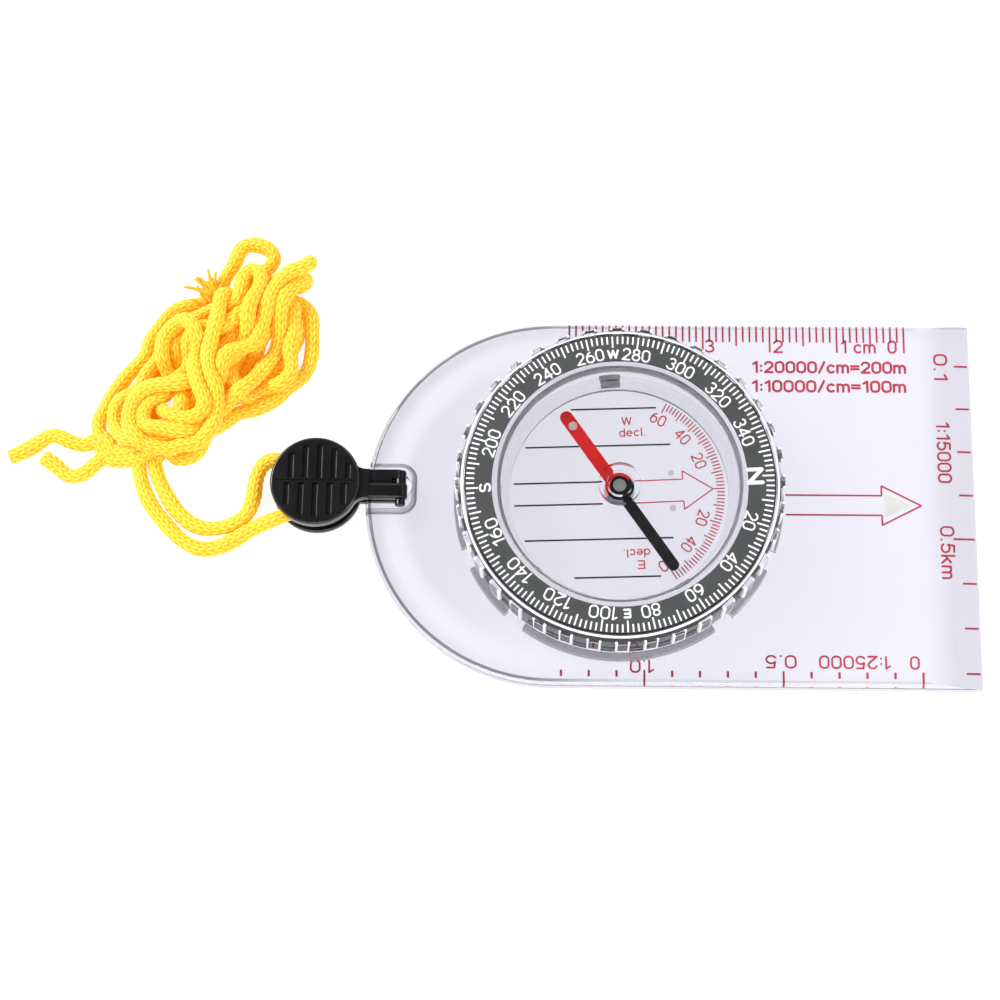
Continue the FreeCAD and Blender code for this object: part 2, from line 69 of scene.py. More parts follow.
def add_camera():
    turn_x, turn_y, turn_z = CAMERA_TURNS
    into_view = (
        Matrix.Rotation(turn_z, 3, "Z") @ Matrix.Rotation(turn_x, 3, "X")
        @ Matrix.Rotation(turn_y, 3, "Y")
    )
    data = bpy.data.cameras.new("camera")
    data.sensor_width = SENSOR
    data.lens = LENS
    data.clip_start = 0.01
    data.clip_end = 20
    camera = bpy.data.objects.new("camera", data)
    camera.matrix_world = Matrix.Translation(CAMERA_PLACE) @ into_view.transposed().to_4x4()
    bpy.context.collection.objects.link(camera)
    bpy.context.scene.camera = camera


# ------------------------------------------------------------------ node helpers

def fill_ramp(node, stops):
    """Sets a ramp's colours or greys from (place, value) stops."""
    elements = node.color_ramp.elements
    while len(elements) < len(stops):
        elements.new(0.5)
    for element, (place, value) in zip(elements, stops):
        element.position = place
        rgb = value if isinstance(value, tuple) else (value, value, value)
        element.color = (*rgb, 1.0)


class Shader:
    """A material's node tree with short calls to add and join nodes."""

    def __init__(self, name):
        self.material = bpy.data.materials.new(name)
        self.material.use_nodes = True
        self.tree = self.material.node_tree
        self.surface = self.tree.nodes["Principled BSDF"]

    @classmethod
    def of(cls, material):
        """The same calls on a material that exists."""
        shader = cls.__new__(cls)
        shader.material = material
        shader.tree = material.node_tree
        shader.surface = shader.tree.nodes["Principled BSDF"]
        return shader

    def set(self, **values):
        """Flat values on the surface shader's own sockets, with _ for a space."""
        for name, value in values.items():
            socket = self.surface.inputs[name.replace("_", " ")]
            socket.default_value = (*value, 1.0) if isinstance(value, tuple) else value
        return self

    def node(self, kind, **settings):
        new = self.tree.nodes.new("ShaderNode" + kind)
        for name, value in settings.items():
            if hasattr(new, name):
                setattr(new, name, value)
            else:
                new.inputs[name.replace("_", " ")].default_value = value
        return new

    def join(self, output, target):
        self.tree.links.new(output, target)

    def coordinates(self):
        return self.node("TexCoord").outputs["Object"]

    def noise(self, size_mm, detail=3.0, roughness=0.55):
        texture = self.node("TexNoise", Scale=1000.0 / size_mm, Detail=detail, Roughness=roughness)
        self.join(self.coordinates(), texture.inputs["Vector"])
        return texture.outputs["Fac"]

    def ramp(self, factor, stops):
        """Colours or greys along a factor, from (place, value) stops."""
        node = self.node("ValToRGB")
        fill_ramp(node, stops)
        self.join(factor, node.inputs["Fac"])
        return node.outputs["Color"]

    def steepness(self):
        """0 on level faces, 1 on upright ones."""
        up = self.split(self.node("NewGeometry").outputs["Normal"])[2]
        return self.math("SUBTRACT", 1.0, self.math("ABSOLUTE", up))

    def split(self, vector):
        node = self.node("SeparateXYZ")
        self.join(vector, node.inputs[0])
        return node.outputs["X"], node.outputs["Y"], node.outputs["Z"]

    def put(self, value, target):
        """A link from another node, or a flat number or colour."""
        if isinstance(value, bpy.types.NodeSocket):
            self.join(value, target)
        else:
            target.default_value = (*value, 1.0) if isinstance(value, tuple) else value

    def math(self, operation, first, second=None):
        node = self.node("Math", operation=operation)
        self.put(first, node.inputs[0])
        if second is not None:
            self.put(second, node.inputs[1])
        return node.outputs["Value"]

    def product(self, *factors):
        result = factors[0]
        for factor in factors[1:]:
            result = self.math("MULTIPLY", result, factor)
        return result

    def above(self, value, limit):
        return self.math("GREATER_THAN", value, limit)

    def below(self, value, limit):
        return self.math("LESS_THAN", value, limit)

    def radius(self, x, y):
        squares = self.math("ADD", self.math("POWER", x, 2.0), self.math("POWER", y, 2.0))
        return self.math("SQRT", squares)

    def mix(self, factor, first, second, **settings):
        node = self.node("Mix", data_type="RGBA", **settings)
        self.put(factor, node.inputs["Factor"])
        self.put(first, node.inputs[6])
        self.put(second, node.inputs[7])
        return node.outputs[2]

    def bump(self, height, distance_mm, strength=1.0):
        node = self.node("Bump", Strength=strength, Distance=distance_mm * MM)
        self.join(height, node.inputs["Height"])
        self.join(node.outputs["Normal"], self.surface.inputs["Normal"])

    def colour_by(self, factor, stops):
        self.join(self.ramp(factor, stops), self.surface.inputs["Base Color"])

    def roughness_by(self, factor, stops):
        self.join(self.ramp(factor, stops), self.surface.inputs["Roughness"])


def clear_plastic(name, tint, ior, rough=0.02):
    """Polished clear plastic with the faint unevenness of a moulding."""
    shader = Shader(name)
    shader.set(Base_Color=tint, IOR=ior, Transmission_Weight=1.0)
    shader.roughness_by(shader.noise(6.0), [(0.3, rough), (0.8, rough + 0.02)])
    shader.bump(shader.noise(9.0, 1.0), 0.02, 0.25)
    return shader.material


PLATE_CLEAR = (0.91, 0.905, 0.985)
# Painted light: a dark painted shade for the top edges and a pale painted highlight for the upright walls.
PLATE_EDGE_PAINTED_SHADE = (0.11, 0.10, 0.115)
PLATE_WALL_PAINTED_HIGHLIGHT = (0.66, 0.64, 0.70)
# Painted shade: the grey round the painted reflection band in the tail.
PLATE_TAIL_PAINTED_SHADE = (0.72, 0.705, 0.76)
PLATE_MIDDLE = 1.45 * MM
TAIL_CENTRE = (-9.6 * MM, 0.0, 0.0)
TAIL_REACH = 30 * MM
RECESS_START = -28.0 * MM
RECESS_Y = 1.9 * MM
RECESS_HALF_WIDTH = 4.1 * MM


def plate_plastic():
    """The plate's clear plastic, with painted light and shade: dark painted shade on the sloped faces of
    its top edges, strongest in the tail, pale painted highlights on its upright walls and on the walls of
    the recess under the tail, and a painted reflection band in the tail.
    """
    material = clear_plastic("plate_acrylic", PLATE_CLEAR, 1.49, 0.0)
    shader = Shader.of(material)
    steepness = shader.steepness()
    x, y, z = shader.split(shader.coordinates())
    # Painted shade and highlight by slope: the edge's facets at these slopes are coloured dark, and the
    # upright walls pale.
    edge = shader.ramp(steepness, [
        (0.0, PLATE_CLEAR), (0.006, PLATE_EDGE_PAINTED_SHADE), (0.13, PLATE_EDGE_PAINTED_SHADE), (0.17, PLATE_CLEAR),
        (0.62, PLATE_CLEAR), (0.70, PLATE_EDGE_PAINTED_SHADE), (0.97, PLATE_WALL_PAINTED_HIGHLIGHT),
    ])
    # The painted edge shade is full in the tail, fades towards the front and lies only above the plate's
    # middle height.
    tail = shader.node("MapRange", From_Min=-12 * MM, From_Max=2 * MM, To_Min=1.0, To_Max=0.3)
    shader.join(x, tail.inputs["Value"])
    rim = shader.product(shader.above(z, PLATE_MIDDLE), tail.outputs["Result"])
    shader.join(shader.mix(rim, smoky_tail(shader), edge), shader.surface.inputs["Base Color"])
    # Painted highlight: the recess walls and the upright walls lose transmission and show pale, like
    # glints on them.
    aside = shader.math("ABSOLUTE", shader.math("SUBTRACT", y, RECESS_Y))
    recess = shader.product(
        shader.below(aside, RECESS_HALF_WIDTH), shader.below(x, RECESS_START),
        shader.below(z, PLATE_MIDDLE), shader.above(steepness, 0.02),
    )
    upright = shader.product(shader.above(steepness, 0.93), 0.55)
    painted_glint = shader.math("MAXIMUM", upright, shader.product(recess, 0.7))
    clearness = shader.math("SUBTRACT", 1.0, painted_glint)
    shader.join(clearness, shader.surface.inputs["Transmission Weight"])
    return material


def smoky_tail(shader):
    """Painted reflection in the tail: a clearer band that follows its round edge, between bands of grey
    painted shade, fading out towards the front.
    """
    from_centre = shader.node("VectorMath", operation="SUBTRACT")
    shader.join(shader.coordinates(), from_centre.inputs[0])
    from_centre.inputs[1].default_value = TAIL_CENTRE
    x, y, _ = shader.split(from_centre.outputs["Vector"])
    bands = shader.ramp(shader.math("DIVIDE", shader.radius(x, y), TAIL_REACH), [
        (0.0, PLATE_TAIL_PAINTED_SHADE), (0.70, PLATE_TAIL_PAINTED_SHADE), (0.78, PLATE_CLEAR),
        (0.82, PLATE_CLEAR), (0.88, PLATE_TAIL_PAINTED_SHADE),
    ])
    amount = shader.node("MapRange", From_Min=-24 * MM, From_Max=4 * MM, To_Min=1.0, To_Max=0.0)
    shader.join(x, amount.inputs["Value"])
    return shader.mix(amount.outputs["Result"], PLATE_CLEAR, bands)


BUMP_PHASE = math.radians(1.0)
BUMP_STEP = math.radians(10.0)
BUMP_HIGHLIGHT_START = 0.72 * MM      # from the bump's middle, round the bezel, to where the painted highlight on the bump's rim begins
# The painted highlight also covers the bezel's outer wall below this height.
BUMP_FOOT = 7.6 * MM
BEZEL_WALL = 23.2 * MM
SHOULDER_Z = 11.95 * MM
SHOULDER_RADIUS = 22.45 * MM


def bezel_plastic():
    """The bezel's clear plastic, with painted highlights: pale on the grip bumps' rims and lower wall,
    along its top edge and on its sloped faces.
    """
    material = clear_plastic("bezel_clear", (0.99, 0.99, 1.0), 1.16, 0.0)
    shader = Shader.of(material)
    x, y, z = shader.split(shader.coordinates())
    radius = shader.radius(x, y)
    turn = shader.math("SUBTRACT", shader.math("ARCTAN2", y, x), BUMP_PHASE)
    aside = shader.product(radius, shader.math("PINGPONG", turn, BUMP_STEP / 2))
    # Painted highlight mask: the grip bumps' rims and lower wall outside the bezel's wall, and its top
    # edge, are made pale.
    side = shader.above(aside, BUMP_HIGHLIGHT_START)
    foot = shader.below(z, BUMP_FOOT)
    rim = shader.product(shader.math("MAXIMUM", side, foot), shader.above(radius, BEZEL_WALL))
    shoulder = shader.product(shader.above(z, SHOULDER_Z), shader.above(radius, SHOULDER_RADIUS))
    painted_highlight = shader.math("MAXIMUM", rim, shoulder)
    # Painted highlight: faces sloped between level and upright lose most of their transmission and show
    # pale, like glints on rounded edges.
    clear = shader.ramp(shader.steepness(), [(0.5, 1.0), (0.58, 0.25), (0.88, 0.25), (0.95, 1.0)])
    clear = shader.product(clear, shader.math("SUBTRACT", 1.0, shader.product(painted_highlight, 0.85)))
    shader.join(clear, shader.surface.inputs["Transmission Weight"])
    return material


def moulded_plastic(name, dark, light, rough, grain_mm=0.6, depth_mm=0.01):
    """Opaque moulded plastic with a fine skin grain and slightly uneven colour."""
    shader = Shader(name)
    shader.colour_by(shader.noise(7.0), [(0.3, dark), (0.75, light)])
    shader.roughness_by(shader.noise(3.0), [(0.3, rough), (0.8, rough + 0.12)])
    shader.bump(shader.noise(grain_mm, 4.0), depth_mm, 0.5)
    return shader.material


def ink(name, dark, light, rough=0.45):
    """Screen-printed ink: almost even, a little mottled where it is thin."""
    shader = Shader(name)
    shader.colour_by(shader.noise(0.5, 4.0), [(0.25, dark), (0.6, light)])
    shader.roughness_by(shader.noise(0.8), [(0.3, rough), (0.8, rough + 0.15)])
    return shader.material


def metal(name, colour, rough):
    shader = Shader(name)
    shader.set(Metallic=1.0)
    shader.colour_by(shader.noise(1.0), [(0.3, tuple(0.85 * c for c in colour)), (0.8, colour)])
    shader.roughness_by(shader.noise(0.6), [(0.3, rough), (0.8, rough + 0.15)])
    return shader.material


# ------------------------------------------------------------------ mesh helpers

def add_object(name, data, material):
    obj = bpy.data.objects.new(name, data)
    bpy.context.collection.objects.link(obj)
    data.materials.append(material)
    return obj


def object_from(bm, name, material, smooth=False):
    mesh = bpy.data.meshes.new(name)
    bm.to_mesh(mesh)
    bm.free()
    if smooth:
        mesh.shade_smooth()
    return add_object(name, mesh, material)


CAP_STEPS = 6
LETTER_GAP = 0.24        # between letters of height 1
STROKE_LIFT = 0.002 * MM  # crossing strokes lie on each other, not in one plane


def bow(x, y, rx, ry, start, end, steps=14):
    """Points along an elliptic arc, in degrees anticlockwise from +X."""
    turns = [math.radians(start + (end - start) * k / steps) for k in range(steps + 1)]
    return [(x + rx * math.cos(t), y + ry * math.sin(t)) for t in turns]


def oval(x, y, rx, ry, straight=0.0):
    """A closed round shape with straight flanks."""
    top = bow(x, y + straight, rx, ry, 0, 180)
    bottom = bow(x, y - straight, rx, ry, 180, 360)
    return top + bottom + top[:1]


def bars(*corners):
    """Separate straight strokes from corner to corner."""
    return [[start, end] for start, end in zip(corners, corners[1:])]


SIX = [oval(0.29, 0.31, 0.29, 0.29, 0.02), bow(0.55, 0.36, 0.55, 0.62, 182, 112)]

# Each letter's width and strokes, for a height of 1
LETTERS = {
    "0": (0.58, [oval(0.29, 0.5, 0.29, 0.29, 0.21)]),
    "1": (0.34, bars((0.04, 0.80), (0.30, 1.0), (0.30, 0.0))),
    "2": (0.58, [bow(0.29, 0.71, 0.28, 0.29, 165, -38), *bars((0.51, 0.53), (0.0, 0.0), (0.58, 0.0))]),
    "3": (0.56, [bow(0.27, 0.76, 0.24, 0.24, 150, -80), bow(0.27, 0.27, 0.29, 0.27, 85, -150)]),
    "4": (0.62, bars((0.46, 0.0), (0.46, 1.0), (0.0, 0.28), (0.62, 0.28))),
    "5": (0.56, [*bars((0.52, 1.0), (0.10, 1.0), (0.04, 0.52)), bow(0.27, 0.32, 0.29, 0.32, 142, -150)]),
    "6": (0.58, SIX),
    "8": (0.58, [oval(0.29, 0.77, 0.24, 0.23), oval(0.29, 0.27, 0.29, 0.27)]),
    "N": (0.66, bars((0.0, 0.0), (0.0, 1.0), (0.66, 0.0), (0.66, 1.0))),
    "E": (0.56, [*bars((0.56, 1.0), (0.0, 1.0), (0.0, 0.0), (0.56, 0.0)), [(0.0, 0.52), (0.50, 0.52)]]),
    "S": (0.60, [bow(0.30, 0.75, 0.27, 0.25, 30, 270), bow(0.30, 0.25, 0.29, 0.25, 90, -150)]),
    "W": (0.92, bars((0.0, 1.0), (0.22, 0.0), (0.46, 1.0), (0.70, 0.0), (0.92, 1.0))),
    "c": (0.50, [bow(0.27, 0.35, 0.27, 0.35, 50, 310)]),
    "d": (0.52, [oval(0.26, 0.35, 0.26, 0.35), [(0.52, 1.0), (0.52, 0.0)]]),
    "e": (0.54, [[(0.0, 0.36), (0.54, 0.36)], bow(0.27, 0.35, 0.27, 0.35, 3, 310)]),
    "k": (0.48, [[(0.0, 0.0), (0.0, 1.0)], [(0.44, 0.70), (0.0, 0.26)], [(0.18, 0.42), (0.48, 0.0)]]),
    "l": (0.06, [[(0.03, 0.0), (0.03, 1.0)]]),
    "m": (0.80, [[(0.0, 0.0), (0.0, 0.70)], bow(0.20, 0.44, 0.20, 0.26, 180, 0),
                 [(0.40, 0.44), (0.40, 0.0)], bow(0.60, 0.44, 0.20, 0.26, 180, 0),
                 [(0.80, 0.44), (0.80, 0.0)]]),
    ":": (0.10, [[(0.05, 0.14), (0.05, 0.17)], [(0.05, 0.60), (0.05, 0.63)]]),
    ".": (0.10, [[(0.05, 0.0), (0.05, 0.03)]]),
    "/": (0.40, [[(0.0, -0.03), (0.40, 1.03)]]),
    "=": (0.56, [[(0.0, 0.34), (0.56, 0.34)], [(0.0, 0.62), (0.56, 0.62)]]),
}


class Print:
    """Flat marks of even thickness, gathered into one mesh. Sizes are in millimetres."""

    def __init__(self, z):
        self.bm = bmesh.new()
        self.z = z
        self.top = z + INK_THICKNESS

    def outline(self, points):
        """A filled shape from its corners in order."""
        low = [self.bm.verts.new((x * MM, y * MM, self.z)) for x, y in points]
        high = [self.bm.verts.new((x * MM, y * MM, self.top)) for x, y in points]
        self.bm.faces.new(low[::-1])
        self.bm.faces.new(high)
        for i in range(len(points)):
            j = (i + 1) % len(points)
            self.bm.faces.new((low[i], low[j], high[j], high[i]))

    def line(self, start, end, width):
        (x0, y0), (x1, y1) = start, end
        length = math.hypot(x1 - x0, y1 - y0)
        nx, ny = -(y1 - y0) / length * width / 2, (x1 - x0) / length * width / 2
        self.outline([(x0 - nx, y0 - ny), (x1 - nx, y1 - ny), (x1 + nx, y1 + ny), (x0 + nx, y0 + ny)])

    def chain(self, points, width):
        for start, end in zip(points, points[1:]):
            self.line(start, end, width)

    def tick(self, angle, inner, outer, width):
        """A radial line. The angle is in radians, anticlockwise from +X."""
        c, s = math.cos(angle), math.sin(angle)
        self.line((inner * c, inner * s), (outer * c, outer * s), width)

    def stroke(self, points, width):
        """A line of even width with round ends. It closes on itself if the ends meet."""
        points = np.array(points, dtype=float)
        loop = bool(np.linalg.norm(points[0] - points[-1]) < 1e-6)
        if loop:
            points = points[:-1]
            ahead = np.roll(points, -1, axis=0) - np.roll(points, 1, axis=0)
        else:
            ahead = np.gradient(points, axis=0)
        ahead /= np.linalg.norm(ahead, axis=1)[:, None]
        side = np.stack([-ahead[:, 1], ahead[:, 0]], axis=1) * width / 2
        left, right = points + side, points - side
        if not loop:
            cap = [math.pi / 2 - math.pi * k / CAP_STEPS for k in range(1, CAP_STEPS)]
            end = [points[-1] + ahead[-1] * width / 2 * math.cos(a) + side[-1] * math.sin(a) for a in cap]
            start = [points[0] - ahead[0] * width / 2 * math.cos(a) - side[0] * math.sin(a) for a in cap]
            self.outline([*right, *end[::-1], *left[::-1], *start[::-1]])
            return
        rings = [
            [self.bm.verts.new((x * MM, y * MM, z)) for x, y in line]
            for z in (self.z, self.top) for line in (left, right)
        ]
        low_left, low_right, high_left, high_right = rings
        for i in range(len(points)):
            j = (i + 1) % len(points)
            for near, far in ((low_right, low_left), (high_left, high_right),
                              (low_left, high_left), (high_right, low_right)):
                self.bm.faces.new((near[i], near[j], far[j], far[i]))

    def text(self, words, centre, size, turn=0.0, weight=0.2):
        """Plain monoline lettering that fills size = (width, height), turned by radians."""
        strokes, x = [], 0.0
        for letter in words:
            width, drawn = LETTERS[letter]
            strokes += [[(x + px, py) for px, py in points] for points in drawn]
            x += width + LETTER_GAP
        full = np.vstack(strokes)
        low, high = full.min(axis=0), full.max(axis=0)
        middle = (low + high) / 2
        scale = (np.array(size) - weight) / np.maximum(high - low, 0.01)
        if high[0] - low[0] < 0.05:
            scale[0] = scale[1]
        c, s = math.cos(turn), math.sin(turn)
        for count, points in enumerate(strokes):
            self.top = self.z + INK_THICKNESS + count % 7 * STROKE_LIFT
            flat = (np.array(points) - middle) * scale
            placed = [(centre[0] + c * px - s * py, centre[1] + s * px + c * py) for px, py in flat]
            self.stroke(placed, weight)
        self.top = self.z + INK_THICKNESS

    def finish(self, name, material, body):
        bmesh.ops.remove_doubles(self.bm, verts=self.bm.verts, dist=1e-7)
        bmesh.ops.recalc_face_normals(self.bm, faces=self.bm.faces)
        obj = object_from(self.bm, name, material)
        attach(obj, body)
        return obj


def revolved(profile, ring=False, steps=128):
    """A closed solid of revolution about +Z. The profile is (radius, height) in millimetres."""
    bm = bmesh.new()
    rings = []
    for radius, height in profile:
        if radius == 0:
            rings.append([bm.verts.new((0, 0, height * MM))])
            continue
        rings.append([
            bm.verts.new((
                radius * MM * math.cos(2 * math.pi * i / steps),
                radius * MM * math.sin(2 * math.pi * i / steps), height * MM,
            ))
            for i in range(steps)
        ])
    for below, above in zip(rings, rings[1:] + rings[:1] if ring else rings[1:]):
        for i in range(steps):
            j = (i + 1) % steps
            corners = [
                below[i % len(below)], below[j % len(below)], above[j % len(above)], above[i % len(above)],
            ]
            bm.faces.new(list(dict.fromkeys(corners)))
    bmesh.ops.recalc_face_normals(bm, faces=bm.faces)
    return bm


# ------------------------------------------------------------------ lanyard

CORD_DIAMETER = 2.2 * MM
CLIP_X, CLIP_Y = -44.3, 1.9
GAP_Z = 2.375
CORD_TURN = 2.65


def round_the_stud(side):
    x = CLIP_X + CORD_TURN
    return [(x, CLIP_Y, GAP_Z), (x, CLIP_Y + side * CORD_TURN, GAP_Z)]


UPPER_STRAND = round_the_stud(1) + [
    (-46.5, 4.7, 2.375), (-49.6, 6.1, 2.3), (-52.3, 5.9, 1.9), (-53.6, 3.2, 1.4),
    (-53.7, -0.2, 1.15), (-55.1, -3.0, 1.05), (-58.4, -4.4, 1.05), (-62.0, -4.3, 1.05),
    (-65.0, -1.9, 1.05), (-67.2, 1.5, 1.05), (-68.7, 4.9, 1.05), (-69.0, 7.6, 1.05),
]
LOWER_STRAND = round_the_stud(-1) + [
    (-46.5, -1.5, 2.375), (-50.0, -3.0, 2.3), (-53.6, -4.3, 1.5), (-57.0, -6.6, 1.1),
    (-60.4, -7.8, 1.05), (-63.8, -6.6, 1.05), (-66.6, -3.7, 1.05), (-69.2, -0.6, 1.05),
    (-70.7, 3.0, 1.05), (-71.2, 6.2, 1.05), (-71.1, 8.9, 1.05),
]
LONG_TAIL = [
    (-77.2, 9.6, 1.05), (-79.2, 8.2, 1.05), (-81.6, 8.9, 1.05), (-84.2, 10.3, 1.05),
    (-86.6, 8.4, 1.05), (-88.6, 7.2, 1.05), (-90.4, 6.4, 1.05),
]
SHORT_TAIL = [
    (-74.6, 8.0, 1.05), (-77.0, 6.0, 1.05), (-79.4, 3.6, 1.05), (-81.7, 3.4, 1.05),
    (-83.3, 5.2, 1.05), (-85.3, 6.4, 1.05),
]
# The loops in the heap. A helper script worked these two lists out from points marked by hand.
LOOPS_FROM_UPPER = [
    (-68.1, 9.3, 1.1), (-65.6, 12.7, 1.1), (-62.4, 14.8, 1.1), (-58.9, 16.2, 1.1),
    (-55.3, 17.5, 1.2), (-52.1, 19.3, 1.2), (-49.5, 21.7, 1.2), (-48.1, 24.7, 1.2),
    (-48.4, 28.1, 1.2), (-50.3, 30.3, 1.2), (-52.7, 29.6, 1.2), (-53.6, 26.7, 1.2),
    (-54.8, 24.8, 1.2), (-56.5, 26.7, 1.2), (-56.2, 30.2, 1.4), (-55.3, 33.2, 2.0),
    (-53.8, 35.8, 2.8), (-52.2, 37.8, 3.0), (-52.5, 40.0, 2.8), (-54.8, 40.9, 2.6),
    (-57.3, 40.0, 2.4), (-58.7, 38.0, 2.2), (-59.1, 35.1, 2.0), (-59.9, 32.4, 2.0),
    (-62.1, 31.1, 2.0), (-64.6, 30.5, 1.8), (-67.4, 29.6, 1.4), (-69.3, 27.3, 1.1),
    (-70.5, 24.3, 1.1), (-72.0, 21.2, 1.1), (-74.3, 18.0, 1.1), (-76.7, 14.9, 1.1),
    (-77.7, 11.4, 1.1), (-76.4, 8.4, 1.2), (-73.3, 7.1, 1.6), (-69.9, 7.6, 2.4), (-67.2, 9.6, 3.0),
    (-65.0, 12.4, 3.1), (-63.1, 15.4, 3.1), (-61.4, 18.7, 3.1), (-59.7, 22.0, 3.1),
    (-57.6, 25.4, 3.1), (-55.7, 28.9, 3.2), (-54.2, 31.9, 3.6), (-51.7, 33.8, 3.8),
    (-48.9, 35.8, 3.6), (-46.4, 37.2, 3.4), (-45.8, 37.5, 4.6), (-47.7, 35.9, 5.4),
    (-50.1, 34.1, 5.4), (-52.0, 31.9, 5.4), (-52.9, 28.7, 5.4), (-53.2, 25.3, 5.2),
    (-54.5, 22.8, 5.0), (-57.2, 22.4, 4.8), (-59.3, 20.7, 4.2), (-60.3, 17.5, 4.0),
    (-60.4, 14.1, 4.2), (-61.7, 10.8, 4.8), (-63.9, 8.3, 5.2), (-66.9, 8.1, 5.2), (-69.7, 9.7, 5.2),
    (-70.7, 12.3, 5.2), (-69.2, 14.2, 5.2), (-66.7, 15.3, 5.2), (-64.3, 17.3, 5.2),
    (-63.7, 20.2, 5.2), (-64.9, 22.7, 5.0), (-63.9, 25.3, 5.0), (-61.3, 26.7, 4.6),
    (-58.6, 25.5, 4.4), (-56.6, 27.5, 4.2), (-54.6, 29.7, 4.0), (-52.2, 29.2, 4.0),
    (-50.2, 31.0, 3.6), (-48.2, 31.2, 3.0), (-46.3, 29.2, 2.8), (-45.5, 26.0, 2.6),
    (-46.1, 22.5, 2.4), (-46.9, 19.4, 2.2), (-49.5, 17.1, 2.4), (-53.0, 16.0, 3.0),
    (-56.1, 14.1, 3.0), (-59.4, 12.0, 2.6), (-62.6, 10.2, 2.2), (-66.2, 9.6, 2.2),
    (-69.3, 11.4, 2.1), (-69.8, 14.6, 2.1), (-67.5, 17.1, 2.1), (-65.8, 19.7, 2.1),
    (-66.9, 22.5, 2.1), (-65.8, 25.4, 2.1), (-63.1, 25.4, 2.1), (-60.9, 23.2, 2.1),
    (-58.7, 21.3, 2.0), (-58.9, 18.2, 2.0), (-60.5, 15.1, 1.8), (-61.6, 11.7, 1.6),
    (-61.6, 8.9, 1.6), (-63.0, 6.7, 1.6), (-65.2, 5.9, 1.6), (-66.9, 7.2, 1.8), (-66.6, 9.5, 2.4),
    (-64.8, 11.5, 3.0), (-63.8, 14.1, 3.6), (-64.6, 16.7, 4.2), (-66.4, 18.6, 4.6),
    (-68.3, 20.3, 4.6), (-68.8, 22.9, 4.6), (-67.4, 25.2, 4.6), (-65.4, 27.3, 4.8),
    (-63.0, 26.2, 5.0), (-62.4, 23.2, 5.2), (-63.7, 20.9, 5.4), (-63.3, 18.2, 5.4),
    (-61.4, 16.0, 5.4), (-60.6, 13.6, 5.2), (-61.7, 11.5, 5.0), (-63.7, 10.1, 4.8),
    (-65.9, 11.4, 4.8), (-67.2, 13.7, 4.8), (-68.9, 14.5, 4.6), (-70.1, 12.9, 4.2),
    (-69.6, 10.3, 3.6), (-68.8, 8.1, 2.8), (-69.9, 6.5, 2.0), (-73.0, 5.9, 1.4), (-75.9, 6.1, 1.1),
]
